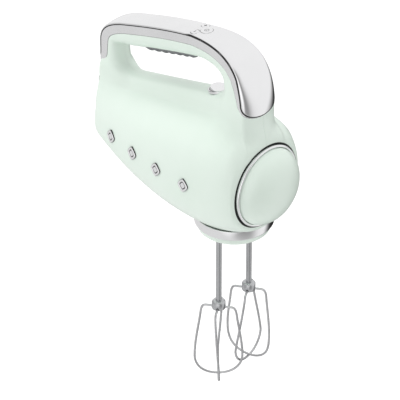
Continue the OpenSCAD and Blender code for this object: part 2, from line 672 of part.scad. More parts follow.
module case_outline(r) {
    for (y = [-seat_y, seat_y]) translate([neck_x, y]) circle(r = r, $fn = fine);
    translate([neck_x - 10.8 - (r - case_in), -seat_y]) square([21.6 + 2 * (r - case_in), whisk_pitch]);
}
lug_places = [for (x = [-15, 15], y = [-7, 7]) [neck_x + x, y]];
module lugs(h) { for (p = lug_places) translate([p[0], p[1], 0]) cylinder(r = 3.2, h = h, $fn = round_n); }
module gear_case() {
    color("silver") difference() {
        union() {
            translate([0, 0, case_floor]) linear_extrude(case_rim - case_floor) case_outline(case_out);
            translate([0, 0, 0]) lugs(case_rim);
            for (y = [-seat_y, seat_y]) translate([neck_x, y, bush_low])
                cylinder(r = 7.5, h = case_floor - bush_low + 1, $fn = fine);
            along_x(neck_x + 12, 0, 0) cylinder(r = 6.6, h = 3.3, $fn = fine);
        }
        translate([0, 0, case_floor + 1.8]) linear_extrude(case_rim - case_floor) case_outline(case_in);
        for (y = [-seat_y, seat_y]) translate([neck_x, y, bush_low - 1])
            cylinder(r = 5.6, h = 50, $fn = fine);
        along_x(neck_x - 20, 0, 0) cylinder(r = shaft_r + 0.6, h = 14, $fn = fine);
        along_x(neck_x + 5, 0, 0) cylinder(r = 5, h = 20, $fn = fine);
        for (p = lug_places) translate([p[0], p[1], -1]) cylinder(r = 1.2, h = 20, $fn = round_n);
    }
}
module gear_cover() {
    color("silver") difference() {
        union() {
            translate([0, 0, case_rim]) linear_extrude(2) case_outline(case_out);
            translate([0, 0, case_rim]) lugs(2);
            for (y = [-seat_y, seat_y]) translate([neck_x, y, case_rim]) cylinder(r = 7.5, h = 5, $fn = fine);
            translate([neck_x, 0, case_rim]) cylinder(r = 3.2, h = 8, $fn = fine);
        }
        for (y = [-seat_y, seat_y]) translate([neck_x, y, 0]) cylinder(r = 5.6, h = 20, $fn = fine);
        for (p = lug_places) translate([p[0], p[1], -1]) cylinder(r = 1.2, h = 20, $fn = round_n);
    }
}
module bushes(z, h) {
    color(copper) for (y = [-seat_y, seat_y]) translate([neck_x, y, z]) tube(5.6, spindle_r + 0.05, h);
}
module lower_bushes() { bushes(bush_low, 9); }
module upper_bushes() { bushes(case_rim, 5); }
module gear_case_screws() {
    color(steel) for (p = lug_places) translate([p[0], p[1], 0]) {
        translate([0, 0, 1]) cylinder(r = 1.2, h = 10, $fn = round_n);
        translate([0, 0, 11]) cylinder(r = 2.4, h = 1.6, $fn = round_n);
    }
}
module power_board() {
    color("darkgreen") box(60, 104, -16, 16, 27, 28.6);
    color(black) {
        box(66, 78, -12, -2, 28.6, 37);
        box(84, 92, 0, 10, 28.6, 36);
    }
    color("gold") translate([97, -8, 28.6]) cylinder(r = 4.5, h = 9, $fn = fine);
}
module housing_screws() {
    color(steel) for (p = screw_places) {
        along_y(p[0], -12, p[1]) cylinder(r = 1.5, h = 24, $fn = round_n);
        along_y(p[0], 12, p[1]) cylinder(r = 3, h = 2, $fn = round_n);
    }
}

// ---- Whisks ----
collar_r = 5.9;
collar_half = 4.2;
wire_exit = -collar_z - 2.4;
wire_root = 3.4;
wire_r = wire_d / 2;
phase_left = -60;
phase_right = -58;
twist_left = -20;
twist_right = 12;
module on_whisk(side) { translate([neck_x, side * seat_y, 0]) children(); }
module whisk_shaft(side) {
    color(steel) on_whisk(side) {
        translate([0, 0, -collar_z - collar_half]) cylinder(r = shaft_d / 2,
            h = shaft_top + collar_z + collar_half, $fn = fine);
        for (a = [0, 90]) rotate([0, 0, a]) translate([-1.4, -0.4, -collar_z - collar_half - 0.8])
            cube([2.8, 0.8, 1]);
    }
}
module whisk_shaft_left() { whisk_shaft(1); }
module whisk_shaft_right() { whisk_shaft(-1); }
module whisk_collar(side, phase) {
    color(steel) on_whisk(side) difference() {
        translate([0, 0, -collar_z]) turned([[0, -collar_half], [collar_r - 0.5, -collar_half],
            [collar_r, -collar_half + 0.5], [collar_r, collar_half - 1.6], [collar_r - 1.6, collar_half],
            [0, collar_half]]);
        translate([0, 0, -collar_z - 10]) cylinder(r = shaft_d / 2, h = 20, $fn = fine);
        for (a = [0:90:270]) rotate([0, 0, phase + a]) along_x(wire_root - 0.2, 0, wire_exit)
            cylinder(r = wire_r, h = 6, $fn = round_n);
    }
}
module whisk_collar_left() { whisk_collar(1, phase_left); }
module whisk_collar_right() { whisk_collar(-1, phase_right); }
// One half of a loop as [radius, height], ending on the axis at the bottom
function half_loop(low) = concat(
    [[wire_root, wire_exit], [8, wire_exit]],
    [for (i = [0:5]) bezier([[11, wire_exit], [14.4, wire_exit], [15.2, wire_exit - 3],
        [15.8, wire_exit - 8]], i / 6)],
    [for (i = [0:6]) bezier([[15.8, wire_exit - 8], [17.2, wire_exit - 22], [loop_r, low + 34],
        [loop_r, low + 19]], i / 7)],
    [for (i = [0:9]) bezier([[loop_r, low + 19], [loop_r, low + 7], [12, low], [0, low]], i / 9)]);
// The loops turn about the axis as they go down, opposite ways on the two whisks
function turn_at(z) = min(1, max(0, (wire_exit - 4 - z) / 52));
module wire_loop(low, twist) {
    h = half_loop(low);
    n = len(h);
    path = concat([for (p = h) let (a = twist * turn_at(p[1])) [p[0] * cos(a), p[0] * sin(a), p[1]]],
        [for (i = [n - 2:-1:0]) let (a = twist * turn_at(h[i][1]))
            [-h[i][0] * cos(a), -h[i][0] * sin(a), h[i][1]]]);
    skin(wire_rings(path, wire_r, 8, [-sin(twist / 2), cos(twist / 2), 0]));
}
module whisk_wires(side, phase, twist) {
    color(steel) on_whisk(side) {
        rotate([0, 0, phase]) wire_loop(-whisk_bottom, twist);
        rotate([0, 0, phase + 90]) wire_loop(-whisk_bottom + wire_d + 0.1, twist);
    }
}
module whisk_wires_left() { whisk_wires(1, phase_left, twist_left); }
module whisk_wires_right() { whisk_wires(-1, phase_right, twist_right); }

housing_left();
housing_right();
heel_pad();
top_cover();
handle_seal();
handle_band();
grip_pad();
minus_button();
plus_button();
power_button();
button_gasket();
control_board();
tact_switches();
board_screws();
eject_button();
eject_bezel();
ejector_yoke();
eject_spring();
front_ring();
front_dome();
neck_ring();
socket_plate();
badge_left();
badge_right();
cord_inlet();
stator_core();
field_coils();
rotor_core();
rotor_windings();
commutator();
motor_shaft();
cooling_fan();
brush_holders();
carbon_brushes();
rear_bearing();
front_bearing();
rear_bracket();
front_bracket();
nose_bearing();
gear_case();
gear_cover();
worm_gear_left();
worm_gear_right();
spindle_left();
spindle_right();
lower_bushes();
upper_bushes();
gear_case_screws();
power_board();
housing_screws();
whisk_shaft_left();
whisk_shaft_right();
whisk_collar_left();
whisk_collar_right();
whisk_wires_left();
whisk_wires_right();
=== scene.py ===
import bpy, bmesh, math
import numpy as np
from mathutils import Vector, Matrix


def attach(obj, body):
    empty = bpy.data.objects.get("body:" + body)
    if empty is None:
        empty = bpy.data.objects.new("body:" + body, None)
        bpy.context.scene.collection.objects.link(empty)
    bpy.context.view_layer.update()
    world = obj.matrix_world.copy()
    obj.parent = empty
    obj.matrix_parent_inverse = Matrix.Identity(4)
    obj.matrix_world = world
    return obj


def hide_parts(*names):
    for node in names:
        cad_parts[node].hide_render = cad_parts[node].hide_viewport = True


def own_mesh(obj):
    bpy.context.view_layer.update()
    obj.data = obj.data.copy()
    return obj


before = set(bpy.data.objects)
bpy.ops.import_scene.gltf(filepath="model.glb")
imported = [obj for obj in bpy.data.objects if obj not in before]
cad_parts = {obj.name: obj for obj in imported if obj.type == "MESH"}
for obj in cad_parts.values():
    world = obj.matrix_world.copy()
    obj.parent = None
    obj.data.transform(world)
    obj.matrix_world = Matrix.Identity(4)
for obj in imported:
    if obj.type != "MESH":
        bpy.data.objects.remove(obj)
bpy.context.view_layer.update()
MM = 0.001

# ---------------------------------------------------------------- materials
def lin(*srgb):
    """Linear colour from 0-255 display values."""
    out = []
    for c in srgb:
        c /= 255
        out.append(c / 12.92 if c <= 0.04045 else ((c + 0.055) / 1.055) ** 2.4)
    return (*out, 1)


def finish_of(name, dark, light, rough, metal=0.0, scale=60, bump=0.02, bump_scale=900, coat=0.0,
              coat_rough=0.05, stretch=(1, 1, 1), edge_highlight=None):
    """A procedural finish: two close colours by a slow noise, roughness by a finer one, a fine bump."""
    m = bpy.data.materials.new(name)
    m.use_nodes = True
    nt = m.node_tree
    p = nt.nodes["Principled BSDF"]
    add = nt.nodes.new
    coord, place = add("ShaderNodeTexCoord"), add("ShaderNodeMapping")
    place.inputs["Scale"].default_value = stretch
    nt.links.new(coord.outputs["Object"], place.inputs["Vector"])

    def noise(size, detail=3.0):
        n = add("ShaderNodeTexNoise")
        n.inputs["Scale"].default_value = size
        n.inputs["Detail"].default_value = detail
        nt.links.new(place.outputs["Vector"], n.inputs["Vector"])
        return n.outputs["Fac"]

    def ramp(fac, lo, hi, a, b):
        r = add("ShaderNodeValToRGB")
        r.color_ramp.elements[0].position, r.color_ramp.elements[1].position = lo, hi
        r.color_ramp.elements[0].color, r.color_ramp.elements[1].color = a, b
        nt.links.new(fac, r.inputs["Fac"])
        return r.outputs["Color"]

    colour = ramp(noise(scale), 0.3, 0.7, dark, light)
    if edge_highlight:
        # painted highlight: convex edges, found by pointiness, are mixed toward a lighter grey
        geo = add("ShaderNodeNewGeometry")
        mix = add("ShaderNodeMix")
        mix.data_type = "RGBA"
        mix.inputs["B"].default_value = edge_highlight
        nt.links.new(colour, mix.inputs["A"])
        nt.links.new(ramp(geo.outputs["Pointiness"], 0.52, 0.62, (0, 0, 0, 1), (0.5, 0.5, 0.5, 1)),
                     mix.inputs["Factor"])
        colour = mix.outputs["Result"]
    nt.links.new(colour, p.inputs["Base Color"])
    lo, hi = rough
    nt.links.new(ramp(noise(scale * 3.1), 0.3, 0.7, (lo, lo, lo, 1), (hi, hi, hi, 1)), p.inputs["Roughness"])
    b = add("ShaderNodeBump")
    b.inputs["Strength"].default_value = bump
    b.inputs["Distance"].default_value = 0.0002
    nt.links.new(noise(bump_scale, 4.0), b.inputs["Height"])
    nt.links.new(b.outputs["Normal"], p.inputs["Normal"])
    p.inputs["Metallic"].default_value = metal
    p.inputs["Coat Weight"].default_value = coat
    p.inputs["Coat Roughness"].default_value = coat_rough
    return m


GREEN = finish_of("pale_green_gloss", lin(214, 227, 217), lin(217, 229, 220), (0.3, 0.38), scale=25,
                  bump=0.03, bump_scale=500, coat=0.25, coat_rough=0.15)
CHROME = finish_of("polished_chrome", lin(246, 246, 247), lin(250, 250, 251), (0.06, 0.11), metal=1,
                   scale=30, bump=0.01, bump_scale=700)
SATIN = finish_of("satin_chrome", lin(240, 240, 241), lin(246, 246, 247), (0.16, 0.22), metal=1,
                  scale=40, bump=0.015, bump_scale=900)
STEEL = finish_of("drawn_steel", lin(186, 187, 189), lin(204, 205, 207), (0.2, 0.32), metal=1, scale=120,
                  bump=0.05, bump_scale=1400, stretch=(1, 1, 0.08))
WIRE = finish_of("bright_wire", lin(190, 190, 192), lin(206, 206, 208), (0.18, 0.28), metal=1, scale=200,
                 bump=0.03, bump_scale=1600)
BLACK = finish_of("black_rubber_seal", lin(13, 13, 14), lin(20, 20, 21), (0.42, 0.55), scale=90,
                  bump=0.12, bump_scale=1800)
# soft grey rubber, with a painted highlight lightening its convex edges and rib crests
GREY = finish_of("soft_grip_rubber", lin(96, 97, 100), lin(106, 107, 110), (0.5, 0.62), scale=140,
                 bump=0.25, bump_scale=2200, edge_highlight=lin(140, 141, 144))
INK = finish_of("printed_ink", lin(66, 66, 68), lin(76, 76, 78), (0.45, 0.55), scale=200, bump=0.05,
                bump_scale=1500)
BOARD = finish_of("board_green", lin(12, 66, 38), lin(20, 82, 48), (0.3, 0.42), scale=220, bump=0.1,
                  bump_scale=1500, coat=0.3)
PLAIN = finish_of("cream_nylon", lin(222, 218, 206), lin(232, 229, 218), (0.38, 0.5), scale=70, bump=0.1,
                  bump_scale=900)
DARKP = finish_of("dark_phenolic", lin(26, 25, 25), lin(38, 36, 35), (0.45, 0.6), scale=160, bump=0.15,
                  bump_scale=1200)
IRON = finish_of("lamination_steel", lin(70, 72, 76), lin(96, 98, 102), (0.4, 0.55), metal=1, scale=50,
                 bump=0.5, bump_scale=400, stretch=(9, 0.2, 0.2))
COPPER = finish_of("enamelled_copper", lin(168, 88, 44), lin(198, 112, 62), (0.28, 0.4), metal=1,
                   scale=120, bump=0.5, bump_scale=900, stretch=(0.2, 1, 1), coat=0.4)
BRONZE = finish_of("sintered_bronze", lin(150, 112, 62), lin(172, 132, 78), (0.45, 0.6), metal=1,
                   scale=300, bump=0.3, bump_scale=2500)
CAST = finish_of("cast_aluminium", lin(160, 162, 165), lin(182, 184, 187), (0.42, 0.6), metal=1,
                 scale=160, bump=0.35, bump_scale=1300)
CARBON = finish_of("carbon", lin(30, 30, 32), lin(46, 46, 48), (0.5, 0.7), scale=300, bump=0.3,
                   bump_scale=2500)

# ---------------------------------------------------------------- mesh helpers (millimetres in)
BODY = "mixer_body"


def piece(name, verts, faces, mat, body=BODY, node=None, slot=None, sharp=32, weld=False):
    """A visible piece from points in millimetres, riding a body."""
    me = bpy.data.meshes.new(name)
    me.from_pydata([tuple(float(c) * MM for c in v) for v in verts], [], faces)
    me.materials.append(mat)
    ob = bpy.data.objects.new(name, me)
    bpy.context.scene.collection.objects.link(ob)
    bm = bmesh.new()
    bm.from_mesh(me)
    if weld:
        bmesh.ops.remove_doubles(bm, verts=bm.verts, dist=1e-7)
    bmesh.ops.recalc_face_normals(bm, faces=bm.faces)
    bm.to_mesh(me)
    bm.free()
    smooth(ob, sharp)
    claim(ob, body, node)
    return ob


def smooth(ob, sharp=32):
    """Smooth shading, with edges over sharp degrees kept crisp."""
    ob.data.shade_smooth()
    ob.data.set_sharp_from_angle(angle=math.radians(sharp))


def claim(ob, body, node=None):
    """Tie an object to its body, hiding the CAD node it stands for."""
    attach(ob, body)
    if node:
        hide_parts(*([node] if isinstance(node, str) else node))


def rings_to_faces(count, m, cap=True):
    """Faces between rings of m points, with the ends closed if capped."""
    faces = [(k * m + i, k * m + (i + 1) % m, (k + 1) * m + (i + 1) % m, (k + 1) * m + i)
             for k in range(count - 1) for i in range(m)]
    if cap:
        faces += [tuple(range(m))[::-1], tuple((count - 1) * m + i for i in range(m))]
    return faces


def loft(name, rings, mat, **kw):
    """A closed skin through rings of points."""
    m = len(rings[0])
    return piece(name, [p for r in rings for p in r], rings_to_faces(len(rings), m), mat, **kw)


def lathe(name, profile, mat, axis="Z", at=(0, 0, 0), steps=128, **kw):
    """A closed profile of (radius, height) turned about an axis through a point."""
    rings = []
    for k in range(steps):
        a = 2 * math.pi * k / steps
        c, s = math.cos(a), math.sin(a)
        ring = []
        for r, h in profile:
            p = {"Z": (r * c, r * s, h), "X": (h, r * c, r * s)}[axis]
            ring.append((at[0] + p[0], at[1] + p[1], at[2] + p[2]))
        rings.append(ring)
    m = len(profile)
    faces = [(k * m + i, k * m + (i + 1) % m, ((k + 1) % steps) * m + (i + 1) % m, ((k + 1) % steps) * m + i)
             for k in range(steps) for i in range(m)]
    return piece(name, [p for r in rings for p in r], faces, mat, weld=True, **kw)


def rounded(points, r=0.3, steps=3):
    """A closed outline with each corner rounded."""
    out = []
    n = len(points)
    for i in range(n):
        p, a, b = (np.array(points[j], float) for j in (i, i - 1, (i + 1) % n))
        da, db = a - p, b - p
        la, lb = np.linalg.norm(da), np.linalg.norm(db)
        t = min(r, la * 0.4, lb * 0.4)
        if p[0] < 1e-6 or t < 1e-4:
            out.append(tuple(p))
            continue
        s, e = p + da / la * t, p + db / lb * t
        for k in range(steps + 1):
            f = k / steps
            out.append(tuple((1 - f) ** 2 * s + 2 * f * (1 - f) * p + f * f * e))
    return out


def sweep(path, radius, sides=12):
    """Rings of a round wire along a path, with a frame carried from point to point."""
    path = [Vector(p) for p in path]
    rings, up = [], Vector((0.3, 0.2, 1)).normalized()
    for i, p in enumerate(path):
        t = (path[min(i + 1, len(path) - 1)] - path[max(i - 1, 0)]).normalized()
        up = (up - t * up.dot(t)).normalized()
        side = t.cross(up)
        turns = [2 * math.pi * k / sides for k in range(sides)]
        rings.append([p + radius * (math.cos(a) * side + math.sin(a) * up) for a in turns])
    return rings


def cutter(name, verts, faces):
    """A closed hidden shape for cutting, from points in metres."""
    me = bpy.data.meshes.new(name)
    me.from_pydata(verts, [], faces)
    bm = bmesh.new()
    bm.from_mesh(me)
    bmesh.ops.recalc_face_normals(bm, faces=bm.faces)
    bm.to_mesh(me)
    bm.free()
    ob = bpy.data.objects.new(name, me)
    bpy.context.scene.collection.objects.link(ob)
    return ob


def cylinder(name, start, direction, r, length, steps=64):
    """A round cutter."""
    d = Vector(direction).normalized()
    u = d.orthogonal().normalized()
    w = d.cross(u)
    turns = [2 * math.pi * k / steps for k in range(steps)]
    ends = [Vector(start) + d * h for h in (0, length)]
    verts = [end + r * (math.cos(a) * u + math.sin(a) * w) for end in ends for a in turns]
    return cutter(name, [tuple(p * MM) for p in verts], rings_to_faces(2, steps))


def block(name, lo, hi):
    """A box cutter."""
    verts = [(x * MM, y * MM, z * MM) for x in (lo[0], hi[0]) for y in (lo[1], hi[1]) for z in (lo[2], hi[2])]
    faces = [(0, 1, 3, 2), (4, 6, 7, 5), (0, 4, 5, 1), (2, 3, 7, 6), (0, 2, 6, 4), (1, 5, 7, 3)]
    return cutter(name, verts, faces)


def slot_tool(at, r, half, height, steps=10):
    """An upright slot cutter, long in Y."""
    turns = [math.pi * k / steps for k in range(steps + 1)]
    ring = [(r * math.cos(a), half + r * math.sin(a)) for a in turns]
    ring += [(-x, -y) for x, y in ring]
    verts = [((at[0] + x) * MM, (at[1] + y) * MM, (at[2] + h) * MM) for h in (0, height) for x, y in ring]
    return cutter("slot", verts, rings_to_faces(2, len(ring)))


def carve(ob, tools, how="DIFFERENCE"):
    """Cut an object with tools, for good."""
    for tool in tools:
        mod = ob.modifiers.new("cut", "BOOLEAN")
        mod.operation, mod.solver, mod.object = how, "MANIFOLD", tool
    dg = bpy.context.evaluated_depsgraph_get()
    me = bpy.data.meshes.new_from_object(ob.evaluated_get(dg))
    ob.modifiers.clear()
    old, ob.data = ob.data, me
    bpy.data.meshes.remove(old)


def drop(tools):
    for t in tools:
        bpy.data.objects.remove(t, do_unlink=True)


# ---------------------------------------------------------------- the handle's line and sections
KNOTS = np.array([
    [[2.9, 47], [2.9, 56], [2.9, 66], [2.9, 74]],
    [[2.9, 74], [3.2, 86], [12, 91.8], [26, 97.2]],
    [[26, 97.2], [54, 106.3], [80, 113.9], [106, 118.5]],
    [[106, 118.5], [130, 122], [152, 121.5], [163, 103]],
    [[163, 103], [168, 92.5], [170, 81], [169.5, 65.5]],
    [[169.5, 65.5], [169.2, 58], [170, 50], [172, 40]]], float)
S_LOW, S_HIGH = -0.15, 1.195


def seam(s):
    """Place and outward normal on the seam; it runs straight down below its rear end."""
    s = np.asarray(s, float)
    k = np.clip(np.floor(s * 5).astype(int), 0, 5)
    t = s * 5 - k
    b = KNOTS[k]
    w = [(1 - t) ** 3, 3 * t * (1 - t) ** 2, 3 * t * t * (1 - t), t ** 3]
    p = sum(w[i][..., None] * b[..., i, :] for i in range(4))
    d = [3 * (1 - t) ** 2, 6 * t * (1 - t), 3 * t * t]
    v = sum(d[i][..., None] * (b[..., i + 1, :] - b[..., i, :]) for i in range(3))
    low = s < 0
    p = np.where(low[..., None], np.stack([np.full_like(s, 2.9), 47 + 135 * s], -1), p)
    v = np.where(low[..., None], np.array([0.0, 27.0]), v)
    m = np.linalg.norm(v, axis=-1)
    return p, np.stack([-v[..., 1], v[..., 0]], -1) / m[..., None], m * 5


def share(s, a, b):
    """0 to 1 as s goes from a to b, with soft ends."""
    t = np.clip((np.asarray(s, float) - a) / (b - a), 0, 1)
    return t * t * (3 - 2 * t)


def tongue(s):
    """0 along the handle, rising to 1 where it widens into the front tongue."""
    return np.sin(np.pi / 2 * np.clip((np.asarray(s, float) - 0.6) / 0.3, 0, 1))


def width(s):
    """Half width of the handle at the seam."""
    return 11.6 + 7.6 * tongue(s)


def crown(s):
    """Height of the cover over the seam."""
    return 2.4 + 1.7 * tongue(s) + 4.4 * share(s, 0.75, 1.0)


def depth(s):
    """Depth of the handle below the seam, in shares of 23 mm."""
    x = [-0.15, 0, 0.05, 0.1, 0.16, 0.22, 0.3, 0.4, 0.5, 0.57, 0.63, 0.68, 0.75, 0.8, 0.87, 1.2]
    y = [1.0, 0.86, 0.8, 0.74, 0.7, 0.69, 0.78, 0.95, 1, 0.98, 0.9, 0.95, 1, 1.04, 1.12, 1.12]
    fine = np.linspace(-0.15, 1.2, 271)
    v = np.interp(fine, x, y)
    for _ in range(12):
        v[1:-1] = (v[:-2] + 2 * v[1:-1] + v[2:]) / 4
    return 23 * np.interp(s, fine, v)


def band_low(s):
    """How far the side band hangs below the seam: less at the heel, and tapering down the tongue."""
    s = np.asarray(s, float)
    taper = np.where(s < 0.72, 1, 1 - 0.82 * (np.clip(s, 0, 1) - 0.72) / 0.28)
    return 7.6 * np.minimum(1, 0.7 + 1.5 * np.maximum(s, 0)) * taper


EDGE = 0.8      # height over the seam where the side turns into the crown


def top_of(s, y):
    """Height of the crown over the seam at y."""
    v = np.clip((y / width(s)) ** 2, 0, 0.9999)
    return EDGE + (crown(s) - EDGE) * (1 - v) ** 0.4


SAMPLE_S = np.linspace(S_LOW, S_HIGH, 320)
SAMPLE_P, SAMPLE_N, SAMPLE_V = seam(SAMPLE_S)


def seam_coords(x, z):
    """For points in the side plane: place along the seam and height over it."""
    q = np.stack([x, z], -1)
    s = np.empty(len(q))
    for i in range(0, len(q), 20000):
        c = q[i:i + 20000]
        d = ((c[:, None, :] - SAMPLE_P[None]) ** 2).sum(-1)
        s[i:i + 20000] = SAMPLE_S[d.argmin(1)]
    for _ in range(2):
        p, n, v = seam(s)
        t = np.stack([n[:, 1], -n[:, 0]], -1)
        s = np.clip(s + ((q - p) * t).sum(-1) / v * 0.8, S_LOW, S_HIGH)
    p, n, v = seam(s)
    return s, ((q - p) * n).sum(-1)


# ---------------------------------------------------------------- the body's sections
DECK_LOW, DECK_SLOPE, DECK_TOP, DECK_END = 41.2, 0.243, 75.22, 34.22
WAIST, POD_SHARE, MOUTH_RISE = 5, 0.8, 41


def front(x):
    """0 up to the widest place, then rising to 1 at the mouth."""
    return np.clip((x - 140) / 42, 0, 1)


def half_w(x):
    return 46 - 24 * np.clip(1 - x / 140, 0, 1) ** 2 - 5 * front(x) ** 3.5


def belly(x):
    return -54 + 34 * np.clip(1 - x / 125, 0, 1) ** 2 + 13 * front(x) ** 1.6


def waist(x):
    return -WAIST * (1 - front(x) ** 1.5)


def deck(x):
    return np.where(x < 140, DECK_LOW + DECK_SLOPE * x, DECK_TOP - DECK_END * front(x) ** 2.1)


def radius_table():
    """Radius of the body's sections by station and by angle from straight up."""
    xs = np.linspace(0, 182, 184)
    th = np.linspace(0, np.pi, 361)
    table = np.zeros((len(xs), len(th)))
    for i, x in enumerate(xs):
        w, zc, top, low, ff = half_w(x), waist(x), deck(x), belly(x), front(x)
        d = (9.6 + 5.5 * min(1, x / 160) ** 4) * (1 - ff ** 6)
        peak = POD_SHARE * (DECK_TOP + WAIST)
        pod_top = POD_SHARE * (top - zc) if x < 140 else peak - (peak - MOUTH_RISE) * ff ** 1.5
        power = np.interp(x, [140, 158, 172, 178, 182], [2.3, 2.8, 3.1, 2.6, 2.0])
        t = np.linspace(0, 1, 400)
        arch = np.clip(1 - np.minimum(1, t * (top - zc) / pod_top) ** power, 0, 1) ** (1 / power)
        pod = (w - 0.12) * arch
        side = (pod + d + np.sqrt((pod - d) ** 2 + 16)) / 2
        side *= np.sqrt(np.clip(1 - (np.clip(t - 0.9, 0, 1) / 0.1) ** 2.6, 0, 1))
        a = np.linspace(0, np.pi / 2, 120)
        y = np.concatenate([side[::-1], (w * np.cos(a) ** 0.94)[1:]])
        z = np.concatenate([(t * (top - zc))[::-1], (-(zc - low) * np.sin(a) ** 0.94)[1:]])
        ang = np.arctan2(y, z)
        order = np.argsort(ang)
        table[i] = np.interp(th, ang[order], np.hypot(y, z)[order])
    for _ in range(30):
        table[:, 1:-1] = (table[:, :-2] + 2 * table[:, 1:-1] + table[:, 2:]) / 4
        table[:, 0], table[:, -1] = table[:, 1], table[:, -2]
    for _ in range(4):
        table[1:-1] = (table[:-2] + 2 * table[1:-1] + table[2:]) / 4
    return xs, th, table


XS, TH, RADII = radius_table()
R_TH = np.gradient(RADII, TH, axis=1)
R_X = np.gradient(RADII, XS, axis=0)


def lookup(table, x, a):
    u = np.clip(x, 0, 182) / 182 * (len(XS) - 1)
    v = a / np.pi * (len(TH) - 1)
    i, j = np.clip(u.astype(int), 0, len(XS) - 2), np.clip(v.astype(int), 0, len(TH) - 2)
    f, g = u - i, v - j
    return (table[i, j] * (1 - f) * (1 - g) + table[i + 1, j] * f * (1 - g)
            + table[i, j + 1] * (1 - f) * g + table[i + 1, j + 1] * f * g)


def soft_min(a, b, k):
    h = np.maximum(k - np.abs(a - b), 0) / k
    return np.minimum(a, b) - h * h * k / 4


def soft_max(a, b, k):
    return -soft_min(-a, -b, k)


def field(x, y, z, s=None, n=None):
    """Signed distance, near enough, to the green casing's outer surface."""
    if s is None:
        s, n = seam_coords(x, z)
    y = np.abs(y)
    dz = z - waist(np.clip(x, 0, 182))
    r = np.hypot(y, dz)
    a = np.arctan2(y, dz)
    rad = lookup(RADII, x, a)
    body = (r - rad) / np.sqrt(1 + (lookup(R_TH, x, a) / rad) ** 2 + lookup(R_X, x, a) ** 2)
    body = soft_max(body, -x, 9)
    body = soft_max(body, x - 182, 2.5)
    w, b = width(s), band_low(s)
    h = depth(s) - b
    dn = np.maximum(-b - n, 0)
    g = ((y / w) ** 2.5 + (dn / h) ** 2.3) ** (1 / 2.4)
    rr = np.hypot(y, dn)
    low = np.where(dn > 0, rr * (1 - 1 / np.maximum(g, 0.05)), y - w)
    top = top_of(s, y)
    v = np.clip((y / w) ** 2, 0, 0.98)
    slope = 0.8 * (crown(s) - EDGE) * y / (w * w) * (1 - v) ** -0.6
    up = (n - top) / np.sqrt(1 + slope ** 2)
    handle = np.maximum(low, up)
    handle = soft_max(handle, 24 - z, 6)
    out = soft_min(body, handle, 15 - 8 * front(x))
    return soft_max(soft_max(out, 0.4 - x, 3), x - 181.9, 3)


def surface(level, step):
    """Surface nets over the field, moved onto the level and evened out."""
    ax = [np.arange(-2.5 - step, 185, step), np.arange(-51 - step / 2, 51 + step, step),
          np.arange(-58, 127, step)]
    nx, ny, nz = (len(v) for v in ax)
    gx, gz = np.meshgrid(ax[0], ax[2], indexing="ij")
    s, n = seam_coords(gx.ravel(), gz.ravel())
    shape = (nx, ny, nz)
    big = lambda v: np.broadcast_to(v.reshape(nx, 1, nz), shape).ravel()
    gy = np.broadcast_to(ax[1][None, :, None], shape).ravel()
    f = field(big(gx), gy, big(gz), big(s), big(n)).reshape(shape) - level
    inside = f < 0
    cube = [(i, j, k) for i in (0, 1) for j in (0, 1) for k in (0, 1)]
    cut = lambda v, c: v[c[0]:nx - 1 + c[0], c[1]:ny - 1 + c[1], c[2]:nz - 1 + c[2]]
    total = sum(cut(inside, c).astype(np.int8) for c in cube)
    mixed = (total > 0) & (total < 8)
    index = np.full(mixed.shape, -1)
    index[mixed] = np.arange(mixed.sum())
    place, count = np.zeros((mixed.sum(), 3)), np.zeros(mixed.sum())
    for a in cube:
        for axis in range(3):
            if a[axis]:
                continue
            b = list(a)
            b[axis] = 1
            fa, fb = cut(f, a)[mixed], cut(f, b)[mixed]
            hit = (fa < 0) != (fb < 0)
            t = fa[hit] / (fa[hit] - fb[hit])
            p = np.tile(np.array(a, float), (hit.sum(), 1))
            p[:, axis] += t
            place[hit] += p
            count[hit] += 1
    place = place / count[:, None] + np.argwhere(mixed)
    verts = place * step + np.array([ax[0][0], ax[1][0], ax[2][0]])
    quads = []
    for axis in range(3):
        o = [(axis + 1) % 3, (axis + 2) % 3]
        lo, hi = [slice(None)] * 3, [slice(None)] * 3
        lo[axis], hi[axis] = slice(0, -1), slice(1, None)
        a, b = inside[tuple(lo)], inside[tuple(hi)]
        for sign, change in ((1, a & ~b), (-1, ~a & b)):
            e = np.argwhere(change)
            q = []
            for d in ((0, 0), (1, 0), (1, 1), (0, 1)):
                c = e.copy()
                c[:, o[0]] -= d[0]
                c[:, o[1]] -= d[1]
                q.append(index[c[:, 0], c[:, 1], c[:, 2]])
            q = np.stack(q, 1)
            quads.append(q if sign > 0 else q[:, ::-1])
    quads = np.concatenate(quads)
    edges = np.concatenate([quads[:, [i, (i + 1) % 4]] for i in range(4)])
    degree = np.bincount(edges.ravel(), minlength=len(verts))[:, None]

    def settle():
        """Move the points onto the level, and give its normals there."""
        nonlocal verts
        value = field(*verts.T) - level
        ahead = [field(*(verts + np.eye(3)[i] * 0.05).T) - level - value for i in range(3)]
        grad = np.stack(ahead, 1) / 0.05
        square = np.maximum((grad ** 2).sum(1), 0.25)[:, None]
        verts = verts - np.clip(value, -1, 1)[:, None] * grad / square
        return grad / np.linalg.norm(grad, axis=1)[:, None]

    normal = settle()
    for _ in range(2):
        near = np.zeros_like(verts)
        np.add.at(near, edges[:, 0], verts[edges[:, 1]])
        np.add.at(near, edges[:, 1], verts[edges[:, 0]])
        move = near / degree - verts
        verts = verts + 0.6 * (move - (move * normal).sum(1)[:, None] * normal)
        normal = settle()
    return verts, quads


# ---------------------------------------------------------------- the casings
WALL = 1.8
NECK = 146.0            # the whisk drive's place along the body
SEAT = 19.0             # each whisk's distance from the centre plane
EJECT = 128.0           # the eject button's place along the body
INLET = 16.0            # the cord inlet's
MOUTH_R, NECK_R, EJECT_R, INLET_R = 38.5, 34.25, 8.5, 6.0       # the round openings
SCREWS, SCREW_HEAD_R = [(27, 24), (27, -2), (98, 44), (104, -38), (165, -30)], 3.2
VENTS, VENT_START, VENT_PITCH, VENT_SIDE = 8, 36, 5.4, 15
WELL_GAP, WELL_LOW = 0.25, -1.5


